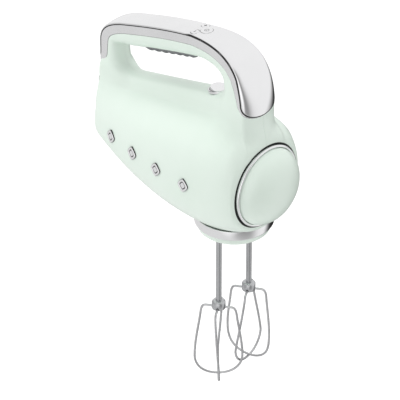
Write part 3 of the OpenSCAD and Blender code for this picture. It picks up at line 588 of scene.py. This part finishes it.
def control_frame():
    """Centre and normal of the control panel."""
    p, n, _ = seam(np.array([0.613]))
    return Vector((p[0, 0], 0, p[0, 1])), Vector((n[0, 0], 0, n[0, 1]))


CP, CN = control_frame()
CT = Vector((CN.z, 0, -CN.x))
# place along and across the panel, and radius
BUTTONS = {"minus": (-3.6, -6.5, 3.7), "plus": (-3.6, 6.5, 3.7), "power": (4.0, 0.0, 5.4)}


def on_panel(u, v, h):
    return CP + CT * u + Vector((0, v, 0)) + CN * h


def wells():
    """Cutters for the button wells."""
    return [cylinder("well", on_panel(u, v, WELL_LOW), CN, r + WELL_GAP, 12) for u, v, r in BUTTONS.values()]


def openings():
    """Cutters for the mouth, neck, eject button, cord inlet, button wells, screw holes and belly vents."""
    tools = [cylinder("mouth", (172, 0, 0), (1, 0, 0), MOUTH_R, 20, 160),
             cylinder("neck", (NECK, 0, -70), (0, 0, 1), NECK_R, 30, 160),
             cylinder("eject", (EJECT, 0, 50), (0, 0, 1), EJECT_R, 40, 96),
             cylinder("inlet", (INLET, 0, -60), (0, 0, 1), INLET_R, 45, 64)]
    tools += wells()
    tools += [cylinder("screw", (x, 10, z), (0, 1, 0), SCREW_HEAD_R, 60, 48) for x, z in SCREWS]
    tools += [slot_tool((VENT_START + VENT_PITCH * i, side * VENT_SIDE, -70), 1.3, 6, 60)
              for i in range(VENTS) for side in (-1, 1)]
    return tools


def casings():
    """One hollow skin, cut open and then split on the centre plane."""
    step = 1.4
    outer, quads = surface(0.0, step)
    inner, holes = surface(-WALL, step * 1.7)
    verts = np.concatenate([outer, inner])
    faces = [tuple(int(i) for i in q) for q in quads]
    faces += [tuple(int(i) + len(outer) for i in q[::-1]) for q in holes]
    me = bpy.data.meshes.new("casing")
    me.from_pydata([tuple(v * MM) for v in verts], [], faces)
    whole = bpy.data.objects.new("casing", me)
    bpy.context.scene.collection.objects.link(whole)
    bm = bmesh.new()
    bm.from_mesh(me)
    if bm.calc_volume(signed=True) < 0:
        bmesh.ops.reverse_faces(bm, faces=bm.faces)
        bm.to_mesh(me)
    bm.free()
    tools = openings()
    carve(whole, tools)
    drop(tools)
    for side, name in ((1, "left"), (-1, "right")):
        half = bpy.data.objects.new("casing_" + name, whole.data.copy())
        bpy.context.scene.collection.objects.link(half)
        box = block("half", (-20, 0.05 if side > 0 else -80, -90), (220, 80 if side > 0 else -0.05, 140))
        carve(half, [box], "INTERSECT")
        drop([box])
        half.data.materials.clear()
        half.data.materials.append(GREEN)
        smooth(half, 38)
        claim(half, BODY, "housing_" + name)
    drop([whole])


# ---------------------------------------------------------------- the handle's trim, laid on its surface
def arc_table(s):
    """Half section from 12 mm below the seam, up the side and over to the middle."""
    w, c = float(width(s)), float(crown(s))
    t = np.linspace(0, 1, 60) ** 1.6 * np.pi / 2
    y = np.concatenate([[w, w], w * np.cos(t)[1:]])
    n = np.concatenate([[-12, EDGE], (EDGE + (c - EDGE) * np.sin(t) ** 0.8)[1:]])
    a = np.concatenate([[0], np.cumsum(np.hypot(np.diff(y), np.diff(n)))])
    return a, y, n


def lay(s, a, table, lift, side):
    """A point on the handle's section at arc a, lifted off it."""
    arc, ys, ns = table
    y, n = np.interp(a, arc, ys), np.interp(a, arc, ns)
    d = 0.25
    y0, y1 = np.interp(max(a - d, 0), arc, ys), np.interp(min(a + d, arc[-1]), arc, ys)
    n0, n1 = np.interp(max(a - d, 0), arc, ns), np.interp(min(a + d, arc[-1]), arc, ns)
    ty, tn = y1 - y0, n1 - n0
    m = math.hypot(ty, tn) or 1
    oy, on = tn / m, -ty / m
    if a >= arc[-1] - 1e-6:
        oy, on = 0.0, 1.0
    y, n = y + oy * lift, n + on * lift
    p, q, _ = seam(np.array([s]))
    return (p[0, 0] + n * q[0, 0], side * y, p[0, 1] + n * q[0, 1])


REAR, FRONT = 0.11, 0.925       # the trim's edges start to close in past these places


def closing(s, tip_r, tip_f):
    """1 along the handle, falling to 0 at both round ends."""
    f = np.clip((s - FRONT) / (tip_f - FRONT), 0, 1)
    r = np.clip((REAR - s) / (REAR - tip_r), 0, 1)
    return math.sqrt(max(0, 1 - f ** 2.5)) * max(0, 1 - r ** 1.7) ** 0.85


def trim_layer(name, low_edge, lift, under, tip_r, tip_f, mat, node, slot, round_r, across=26):
    """A skin over the handle above low_edge(s), closed underneath."""
    v = np.linspace(0, np.pi / 2, 22)
    stations = np.concatenate([REAR - (REAR - tip_r) * np.sin(v[::-1]), np.linspace(REAR, FRONT, 150)[1:-1],
                               FRONT + (tip_f - FRONT) * np.sin(v)])
    stations[0], stations[-1] = tip_r + 1e-5, tip_f - 1e-5
    rings = []
    for s in stations:
        tab = arc_table(s)
        top = tab[0][-1]
        edge = top - (top - low_edge(s)) * closing(s, tip_r, tip_f)
        span = top - edge
        rr = min(round_r, span * 0.3)
        half = [(edge, under)]
        corner = np.linspace(0, np.pi / 2, 4)
        half += [(edge + rr * (1 - math.cos(q)), lift - rr * (1 - math.sin(q))) for q in corner]
        fr = np.linspace(0, 1, across + 1)[1:]
        half += [(edge + rr + (span - rr) * f, lift) for f in fr]
        ring = [lay(s, a, tab, l, -1) for a, l in half]
        ring += [lay(s, a, tab, l, 1) for a, l in half[-2::-1]]
        ring += [lay(s, edge + span * f, tab, under, 1) for f in (0.25, 0.5, 0.75)]
        ring += [lay(s, top, tab, under, 1)]
        ring += [lay(s, edge + span * f, tab, under, -1) for f in (0.75, 0.5, 0.25)]
        rings.append(ring)
    ob = loft(name, rings, mat, node=node, slot=slot, sharp=40)
    tools = wells()
    carve(ob, tools)
    drop(tools)
    smooth(ob, 40)


def seal_t(s):
    """Height of the black seal's visible edge, which thickens from the controls forward."""
    return 0.9 + 0.8 * float(share(s, 0.585, 0.6))


def handle_trim():
    """From the casing out: a black strip of painted shadow under the side band's edge, the side band, the seal's
    bead and the chrome cover.
    """
    # painted shadow: a black strip just below the side band's edge stands in for the shade under it
    trim_layer("trim_shadow_line", lambda s: 12 - float(band_low(s)) - 0.3, 0.06, -0.7, -0.024, 0.9915, BLACK,
               None, "black_rubber", 0.04)
    trim_layer("side_band", lambda s: 12 - float(band_low(s)), 0.24, -0.6, -0.02, 0.9905, SATIN,
               "handle_band", "chrome_trim", 0.15)
    trim_layer("handle_seal_bead", lambda s: 12.0, 0.3, -0.5, -0.006, 0.9897, BLACK, "handle_seal",
               "black_rubber", 0.15)
    trim_layer("chrome_cover", lambda s: 12 + seal_t(s), 0.5, -0.4, 0.0, 0.9855, CHROME, "top_cover",
               "chrome_trim", 0.35)


def under_point(s, y, lift):
    """A point on the handle's underside, lifted off it."""
    w, b, h = float(width(s)), float(band_low(s)), float(depth(s) - band_low(s))
    v = min(abs(y) / w, 0.999)
    n = -b - h * (1 - v ** 2.5) ** (1 / 2.3) - lift
    p, q, _ = seam(np.array([s]))
    return (p[0, 0] + n * q[0, 0], y, p[0, 1] + n * q[0, 1])


def grip():
    """A ribbed soft pad set into the underside of the handle."""
    s0, s1, ribs, rows = 0.432, 0.602, 7, 150
    rings = []
    for k in range(rows + 1):
        f = k / rows
        s = s0 + (s1 - s0) * f
        end = math.sqrt(max(0.0, 1 - abs(2 * f - 1) ** 9))
        half = 8.6 * max(end, 0.02)
        rib_f = (f - 0.06) / 0.88
        rib = abs(math.sin(math.pi * ribs * rib_f)) ** 0.8 if 0 < rib_f < 1 else 0
        ring = []
        for j in range(21):
            u = -1 + 2 * j / 20
            rim = math.sqrt(max(0, 1 - abs(u) ** 6)) * end
            lift = -0.5 + 1.0 * rim + 2.1 * rib * rim ** 2 * (1 - 0.25 * u * u)
            ring.append(under_point(s, half * u, lift))
        ring += [under_point(s, half * u, -1.0) for u in (0.8, 0.3, -0.3, -0.8)]
        rings.append(ring)
    loft("ribbed_grip", rings, GREY, node="grip_pad", slot="grey_rubber", sharp=50)


# ---------------------------------------------------------------- controls
def disc_rings(u, v, levels, steps=64):
    """Round rings on the panel; levels are (radius, height)."""
    turns = [2 * math.pi * k / steps for k in range(steps)]
    return [[on_panel(u + rad * math.cos(a), v + rad * math.sin(a), h) for a in turns] for rad, h in levels]


def cap_levels(r, high, edge=0.45):
    """Levels of a button cap with a round edge and a slightly dished top."""
    lv = [(r, -0.5), (r, high - edge)]
    turns = np.linspace(0.3, np.pi / 2, 5)
    lv += [(r - edge * (1 - math.cos(q)), high - edge + edge * math.sin(q)) for q in turns]
    return lv + [(r * 0.8, high + 0.02), (r * 0.5, high - 0.06), (r * 0.2, high - 0.12), (0.02, high - 0.13)]


def printed(name, height, outlines, body, thick=0.05):
    """Thin printed strokes at a height over the panel, from outlines of (u, v) points."""
    verts, faces = [], []
    for outline in outlines:
        n = len(outline)
        k = len(verts)
        for h in (0, thick):
            verts += [on_panel(u, v, height + h) for u, v in outline]
        faces += [(k + i, k + (i + 1) % n, k + n + (i + 1) % n, k + n + i) for i in range(n)]
        faces += [tuple(k + i for i in range(n))[::-1], tuple(k + n + i for i in range(n))]
    piece(name, verts, faces, INK, body=body, slot="black_rubber")


def bar(cu, cv, lu, lv):
    """Outline of a straight stroke, from its centre and half sizes."""
    return [(cu - lu, cv - lv), (cu + lu, cv - lv), (cu + lu, cv + lv), (cu - lu, cv + lv)]


def arc_band(cu, cv, r, w, a0, a1, steps=22):
    """Outline of a curved stroke of width w."""
    a = np.linspace(math.radians(a0), math.radians(a1), steps)
    outer = [(cu + (r + w / 2) * math.cos(t), cv + (r + w / 2) * math.sin(t)) for t in a]
    inner = [(cu + (r - w / 2) * math.cos(t), cv + (r - w / 2) * math.sin(t)) for t in a[::-1]]
    return outer + inner


def controls():
    """The three button caps with their symbols, each in a thin black ring that paints the shade in its gap."""
    stroke, reach = 0.28, 1.5
    for name, (u, v, r) in BUTTONS.items():
        body = name + "_button"
        high = 3.35 if name == "power" else 3.0
        loft(name + "_cap", disc_rings(u, v, cap_levels(r, high)), CHROME, body=body, node=body,
             slot="chrome_trim", sharp=40)
        marks = {
            "minus": [bar(u, v, stroke, reach)],
            "plus": [bar(u, v, stroke, reach)] + [bar(u + du, v, 0.61, stroke) for du in (-0.89, 0.89)],
            "power": [arc_band(u, v, 1.9, 0.42, -60, 240), bar(u, v, 0.2, 0.2), bar(u, v - 1.6, 0.22, 0.9)]}
        printed(name + "_mark", high - 0.11, marks[name], body)
    # painted shade: a thin black ring lines the gap between each cap and its well
    for name, (u, v, r) in BUTTONS.items():
        near, far = r + 0.05, r + 0.24
        rings = disc_rings(u, v, [(near, -1.4), (far, -1.4), (far, 1.2), (near, 1.2), (near, -1.4)])
        piece(name + "_gap_shade_ring", [p for ring in rings for p in ring], rings_to_faces(5, len(rings[0]), False),
              BLACK, slot="black_rubber", weld=True)


def eject():
    """The eject button and, following the deck's slope, its collar."""
    at = float(deck(np.array(EJECT)))
    top, r, edge, groove = at + 1.7, 7.6, 0.6, 0.25
    prof = [(0.0, 26.5), (3, 26.5), (3, top - 8), (r, top - 8), (r, top - 1.7), (r - groove, top - 1.6),
            (r - groove, top - 1.35), (r, top - 1.25), (r, top - edge)]
    turns = np.linspace(0.3, np.pi / 2, 5)
    prof += [(r - edge + edge * math.cos(q), top - edge + edge * math.sin(q)) for q in turns]
    prof += [(r * 0.7, top - 0.06), (r * 0.35, top - 0.28), (0.0, top - 0.36)]
    lathe("eject_cap", prof, CHROME, at=(EJECT, 0, 0), body="ejector", node="eject_button",
          slot="chrome_trim", sharp=40)
    outline = rounded([(8.1, -1.4), (9.4, -1.4), (9.4, 0.55), (8.1, 1.0)], 0.25)
    steps = 96
    verts = []
    for k in range(steps + 1):
        c, s = math.cos(2 * math.pi * k / steps), math.sin(2 * math.pi * k / steps)
        verts += [(EJECT + rad * c, rad * s, at + h + rad * c * DECK_SLOPE) for rad, h in outline]
    piece("eject_collar", verts, rings_to_faces(steps + 1, len(outline), False), SATIN,
          node="eject_bezel", slot="chrome_trim", weld=True)


def spring():
    """The eject button's return spring, standing on the gear cover."""
    r, wire, turns, low, high, travel = 4.6, 0.45, 5, 11.6, 24.0, 5.0
    count = turns * 28
    rise = high - low - 2 * wire
    spin = [2 * math.pi * turns * i / count for i in range(count + 1)]
    path = [(NECK + r * math.cos(a), r * math.sin(a), low + wire + rise * i / count) for i, a in enumerate(spin)]
    ob = loft("return_coil", sweep(path, wire, 10), STEEL, body="ejector", node="eject_spring")
    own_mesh(ob)


# ---------------------------------------------------------------- front ring, dome, neck
MOUTH = 182             # the casing's front face
PLATE_Z = -56.4         # underside of the socket plate


def nose():
    """The chrome ring, a black liner in the gap around it as painted shade, and the green dome in it."""
    ring_r, ring_w = 36.9, 2.3
    half = ring_w / 2
    prof = [(ring_r - ring_w, -7), (ring_r - 1, -7), (ring_r - 1, -3), (ring_r, -2.4)]
    prof += [(ring_r - half + half * math.cos(q), 0.9 + 1.2 * math.sin(q)) for q in np.linspace(0, np.pi, 17)]
    lathe("front_chrome_ring", prof, CHROME, "X", (MOUTH, 0, 0), 192, node="front_ring", slot="chrome_trim")
    # painted shade: a black liner fills the gap between the chrome ring and the casing's mouth
    gasket = [(35.95, -7), (38.6, -7), (38.6, -1.2), (37.4, -1.6), (35.95, -3.2)]
    lathe("mouth_gap_shade", rounded(gasket, 0.3), BLACK, "X", (MOUTH, 0, 0), 160, slot="black_rubber")
    r, h, wall = 34.4, 19.0, 2.2

    def arc(inset):
        turns = np.linspace(0, np.pi / 2, 40)
        points = [((r - inset) * math.cos(q) ** 0.86, 0.6 + (h - inset) * math.sin(q)) for q in turns]
        points[-1] = (0.0, points[-1][1])
        return points

    lathe("front_dome_shell", [(r - wall, -6), (r, -6)] + arc(0) + arc(wall)[::-1][:-1], GREEN, "X",
          (MOUTH, 0, 0), 192, node="front_dome", slot="green_enamel", sharp=50)


def neck():
    """The chrome neck ring and the socket plate with its two rimmed sockets."""
    ring = [(32, -49.4), (33.2, -50), (34, -49.2), (34, -41), (32, -41)]
    lathe("neck_chrome", rounded(ring, 0.35, 4), CHROME, at=(NECK, 0, 0), steps=160, node="neck_ring",
          slot="chrome_trim")
    edge, wall = 31.9, 2.2
    prof = [(0, PLATE_Z), (28.4, PLATE_Z), (29.8, -56.15), (30.7, -55.4), (31.1, -54.4), (31.5, -52.2),
            (edge, -50), (edge, -42), (edge - wall, -42), (edge - wall, -49.4), (28, -53.4), (0, -53.4)]
    ob = lathe("socket_plate_shell", prof, GREEN, at=(NECK, 0, 0), steps=160, node="socket_plate",
               slot="green_enamel")
    tools = [cylinder("socket", (NECK, y, -60), (0, 0, 1), 5.1, 12) for y in (-SEAT, SEAT)]
    carve(ob, tools)
    drop(tools)
    smooth(ob, 40)
    rim = [(5.15, -56.9), (6.6, -56.9), (6.6, -56.2), (5.15, -56.2)]
    for y, side in ((SEAT, "left"), (-SEAT, "right")):
        lathe("socket_rim_" + side, rounded(rim, 0.25), SATIN, at=(NECK, y, 0), steps=64, slot="chrome_trim")


STUD_XS, STUD_Z, STUD_POWER = (33, 64.5, 96.5, 130), -1, 1.3


def studs(name, side, levels, mat, **kw):
    """Plain raised lozenges along one side, built from rings of (radius, height over the casing)."""
    verts, faces = [], []
    m = 40
    for x in STUD_XS:
        lean = math.atan2(float(half_w(np.array(x + 1.0)) - half_w(np.array(x - 1.0))) / 2, 1)
        base = float(half_w(np.array(float(x))))
        k = len(verts)
        for r, h in levels:
            for i in range(m):
                c, s = math.cos(2 * math.pi * i / m), math.sin(2 * math.pi * i / m)
                f = r / (abs(c) ** STUD_POWER + abs(s) ** STUD_POWER) ** (1 / STUD_POWER)
                u, v = f * c * 0.9, f * s
                verts.append((x + math.cos(lean) * u - math.sin(lean) * h,
                              side * (base + math.sin(lean) * u + math.cos(lean) * h), STUD_Z + v))
        faces += [(k + q * m + i, k + q * m + (i + 1) % m, k + (q + 1) * m + (i + 1) % m, k + (q + 1) * m + i)
                  for q in range(len(levels) - 1) for i in range(m)]
        last = k + (len(levels) - 1) * m
        faces += [tuple(k + i for i in range(m))[::-1], tuple(last + i for i in range(m))]
    piece(name, verts, faces, mat, slot="chrome_trim", sharp=24, **kw)


def badges():
    """Plain lozenges in place of the maker's lettering, each over a black skirt of painted shade."""
    # painted shade: black skirts just wider than the chrome faces darken the lozenges' sides
    shadow = [(6.45, -1.2), (6.4, 0.8), (6.1, 0.95)]
    face = [(6.2, -1.2), (6.2, 0.9), (5.9, 1.2), (5.3, 1.3), (4.2, 1.3), (3.9, 1.05), (3.7, 0.7), (3.2, 0.68),
            (2.9, 1.0), (0.05, 1.3)]
    for side, name in ((1, "left"), (-1, "right")):
        studs("stud_shadow_" + name, side, shadow, BLACK)
        studs("lozenges_" + name, side, face, CHROME, node="badge_" + name)


# ---------------------------------------------------------------- heel and cord inlet
def heel():
    """The rubber heel foot, with a shallow panel in it, and the cord inlet's bush."""
    lo, hi, half, r = -12, 40, 13, 5
    in_y = half - r
    corners = ((in_y, hi - r, 0), (-in_y, hi - r, 90), (-in_y, lo + r, 180), (in_y, lo + r, 270))

    def outline(inset, n=10):
        turns = [(cy, cz, math.radians(a0 + 90 * k / n)) for cy, cz, a0 in corners for k in range(n + 1)]
        return [(cy + (r - inset) * math.cos(a), cz + (r - inset) * math.sin(a)) for cy, cz, a in turns]

    levels = ((0, 1.6), (0, 0.5), (0.2, 0.15), (0.6, 0.0), (1.6, 0.0), (1.8, 0.35), (2.2, 0.45), (4.6, 0.45))
    rings = [[(x, y, z) for y, z in outline(inset)] for inset, x in levels]
    loft("heel_foot", rings, GREY, node="heel_pad", slot="grey_rubber")
    z = float(belly(np.array(INLET)))
    bore, flange = 3.6, 8.6
    prof = [(bore, z - 4), (5.2, z - 4), (5.9, z - 3), (5.9, z + 4.5), (flange, z + 4.5), (flange, z + 7.5),
            (bore, z + 7.5)]
    lathe("cord_bush", rounded(prof, 0.4), BLACK, at=(INLET, 0, 0), steps=64, node="cord_inlet",
          slot="black_rubber")


# ---------------------------------------------------------------- whisks
COLLAR_Z, COLLAR_HALF, COLLAR_R = -127.8, 4.2, 5.9
EXIT_Z = COLLAR_Z - 2.4         # where the wires leave the collar
LOW_Z = -202.6                  # the lowest wire's middle
WIRE_R, SHAFT_R = 1.0, 2.45


def bez(p, n):
    """Points along a cubic curve."""
    p = np.array(p, float)
    t = np.linspace(0, 1, n)[:, None]
    return (1 - t) ** 3 * p[0] + 3 * t * (1 - t) ** 2 * p[1] + 3 * t * t * (1 - t) * p[2] + t ** 3 * p[3]


def half_loop(low):
    """Half of one wire loop as (distance from the shaft's axis, height), from the collar to its low point."""
    e, wide = EXIT_Z, 20.6
    return np.concatenate([[[3.6, e], [7, e]],
                           bez([[11, e], [14.4, e], [15.2, e - 3], [15.8, e - 8]], 14)[:-1],
                           bez([[15.8, e - 8], [17.2, e - 22], [wide, low + 34], [wide, low + 19]], 22)[:-1],
                           bez([[wide, low + 19], [wide, low + 7], [12, low], [0, low]], 26)])


def whisk(side, name, phase, twist):
    """Two crossed wire loops, a collar and a shaft; phase and twist in degrees."""
    y = side * SEAT
    body = "whisk_" + name
    sides = 14
    verts, faces = [], []
    for low, extra in ((LOW_Z, 0), (LOW_Z + 2.1, 90)):
        h = half_loop(low)
        full = np.concatenate([h, [(-a, b) for a, b in h[-2::-1]]])
        turn = np.clip((EXIT_Z - 4 - full[:, 1]) / 52, 0, 1) * twist + phase + extra
        path = [(NECK + a * math.cos(math.radians(t)), y + a * math.sin(math.radians(t)), b)
                for (a, b), t in zip(full, turn)]
        rings = sweep(path, WIRE_R, sides)
        k = len(verts)
        verts += [p for r in rings for p in r]
        faces += [tuple(k + i for i in f) for f in rings_to_faces(len(rings), sides)]
    piece("wires_" + name, verts, faces, WIRE, body=body, node="whisk_wires_" + name, slot="steel", sharp=60)
    r, h = COLLAR_R, COLLAR_HALF
    prof = [(0, -h), (r - 1.1, -h), (r - 0.35, -h + 0.3), (r, -h + 0.9), (r, h - 1.9), (r - 0.3, h - 1.2),
            (r - 1.5, h - 0.15), (r - 2, h), (0, h)]
    ob = lathe("collar_" + name, [(rad, COLLAR_Z + up) for rad, up in prof], STEEL, at=(NECK, y, 0), steps=72,
               body=body, node="whisk_collar_" + name, slot="steel", sharp=45)
    tools = []
    for q in range(4):
        a = math.radians(phase + 90 * q)
        d = (math.cos(a), math.sin(a), 0)
        tools.append(cylinder("hole", (NECK + 4.4 * d[0], y + 4.4 * d[1], EXIT_Z), d, 1.35, 3, 24))
    tools.append(cylinder("bore", (NECK, y, -140), (0, 0, 1), SHAFT_R, 20, 48))
    carve(ob, tools)
    drop(tools)
    smooth(ob, 40)
    top, r, tip, catch = 9.0, SHAFT_R, COLLAR_Z - COLLAR_HALF, 0.35
    prof = [(0, tip - 0.5), (1.6, tip - 0.5), (r, tip + 0.2), (r, -60), (r, -12), (r - catch, -11.6),
            (r - catch, -10.2), (r, -9.8), (r, top - 1), (r - 0.8, top - 0.1), (0, top)]
    lathe("shaft_" + name, prof, STEEL, at=(NECK, y, 0), steps=48, body=body, node="whisk_shaft_" + name,
          slot="steel")


# ---------------------------------------------------------------- CAD pieces that keep their own shape
INNER = {
    IRON: ["stator_core", "rotor_core"], COPPER: ["field_coils", "rotor_windings", "commutator"],
    CAST: ["rear_bracket", "front_bracket", "gear_case", "gear_cover"],
    BRONZE: ["rear_bearing", "front_bearing", "nose_bearing", "lower_bushes", "upper_bushes"],
    STEEL: ["motor_shaft", "spindle_left", "spindle_right", "board_screws", "housing_screws",
            "gear_case_screws"],
    PLAIN: ["cooling_fan", "worm_gear_left", "worm_gear_right", "ejector_yoke"],
    DARKP: ["brush_holders", "tact_switches"], CARBON: ["carbon_brushes"],
    BOARD: ["control_board", "power_board"],
    GREY: ["button_gasket"],
}


def inner():
    """Give the carried-over CAD pieces their materials."""
    for mat, names in INNER.items():
        for name in names:
            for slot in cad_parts[name].material_slots:
                slot.link = "OBJECT"
                slot.material = mat


# ---------------------------------------------------------------- room, light and camera
def stage():
    """A pale floor, three soft lights and a studio sky whose tones the chrome picks up."""
    me = bpy.data.meshes.new("floor")
    half, cells, low = 6.0, 24, -0.62
    row = cells + 1
    marks = [(i / cells - 0.5) * 2 * half for i in range(row)]
    me.from_pydata([(x, y, low) for x in marks for y in marks], [],
                   [(i * row + j, (i + 1) * row + j, (i + 1) * row + j + 1, i * row + j + 1)
                    for i in range(cells) for j in range(cells)])
    paper = finish_of("floor_paper", lin(250, 250, 250), lin(252, 252, 252), (0.8, 0.9), scale=3, bump=0.0)
    glow = paper.node_tree.nodes["Principled BSDF"].inputs
    glow["Emission Color"].default_value = (1, 1, 1, 1)
    glow["Emission Strength"].default_value = 0.12
    me.materials.append(paper)
    floor = bpy.data.objects.new("floor", me)
    bpy.context.scene.collection.objects.link(floor)
    floor.visible_glossy = False

    def area(name, at, size, power):
        light = bpy.data.lights.new(name, "AREA")
        light.shape, light.size, light.size_y, light.energy = "RECTANGLE", size[0], size[1], power
        ob = bpy.data.objects.new(name, light)
        ob.location = at
        ob.rotation_euler = (Vector((0.1, 0, 0)) - Vector(at)).to_track_quat("-Z", "Y").to_euler()
        bpy.context.scene.collection.objects.link(ob)
        ob.visible_glossy = False

    area("top", (0.0, 0.1, 1.6), (1.0, 1.0), 12)
    area("left", (-1.2, -1.1, 0.7), (1.0, 1.2), 11)
    area("right", (1.15, 1.1, 0.5), (1.0, 1.2), 1)

    world = bpy.data.worlds.new("studio")
    bpy.context.scene.world = world
    world.use_nodes = True
    nt = world.node_tree
    coord = nt.nodes.new("ShaderNodeTexCoord")

    def toward(direction, lo, hi):
        """0 to 1 as the view turns toward a direction."""
        dot = nt.nodes.new("ShaderNodeVectorMath")
        dot.operation = "DOT_PRODUCT"
        dot.inputs[1].default_value = Vector(direction).normalized()
        nt.links.new(coord.outputs["Generated"], dot.inputs[0])
        ease = nt.nodes.new("ShaderNodeMapRange")
        ease.interpolation_type = "SMOOTHSTEP"
        ease.inputs["From Min"].default_value, ease.inputs["From Max"].default_value = lo, hi
        nt.links.new(dot.outputs["Value"], ease.inputs["Value"])
        return ease.outputs["Result"]

    def layer(under, factor, value):
        """A grey laid over what is under it."""
        mix = nt.nodes.new("ShaderNodeMix")
        mix.data_type = "RGBA"
        mix.inputs["A"].default_value = mix.inputs["B"].default_value = (value, value, value, 1)
        if isinstance(under, float):
            mix.inputs["A"].default_value = (under, under, under, 1)
        else:
            nt.links.new(under, mix.inputs["A"])
        nt.links.new(factor, mix.inputs["Factor"])
        return mix.outputs["Result"]

    # above, below, dim in front, the white card on the left, the bright back wall and its dark foot
    sky = layer(0.5, toward((0, 0, 1), 0.3, 0.8), 0.84)
    sky = layer(sky, toward((0, 0, -1), -0.12, 0.3), 0.72)
    sky = layer(sky, toward((0.95, -0.2, 0.05), 0.5, 0.95), 0.3)
    sky = layer(sky, toward((0.45, -0.85, 0.1), 0.72, 0.98), 1.15)
    sky = layer(sky, toward((0.4, 0.85, 0.2), 0.2, 0.75), 0.88)
    sky = layer(sky, toward((-0.35, 0.75, 0.3), 0.3, 0.8), 0.88)
    sky = layer(sky, toward((-0.12, 0.78, -0.6), 0.72, 0.97), 0.03)
    nt.links.new(sky, nt.nodes["Background"].inputs["Color"])


def camera():
    """A long lens, 43 degrees round from the front and 33.4 degrees up."""
    cam = bpy.data.objects.new("camera", bpy.data.cameras.new("camera"))
    bpy.context.scene.collection.objects.link(cam)
    a, e = math.radians(43), math.radians(33.4)
    back = Vector((math.sin(a) * math.cos(e), -math.cos(a) * math.cos(e), math.sin(e)))
    target = Vector((146.1, -42.5, -10.2)) * MM
    away, across = 3.0, 0.33333
    cam.location = target + back * away
    cam.rotation_mode = "QUATERNION"
    cam.rotation_quaternion = (-back).to_track_quat("-Z", "Y")
    cam.data.sensor_width = 36
    cam.data.lens = 36 * away / across
    cam.data.clip_start, cam.data.clip_end = 0.05, 30
    bpy.context.scene.camera = cam
    bpy.context.scene.view_settings.view_transform = "Standard"


camera()
stage()
casings()
handle_trim()
grip()
controls()
eject()
spring()
nose()
neck()
badges()
heel()
whisk(1, "left", -60, -20)
whisk(-1, "right", -58, 12)
inner()
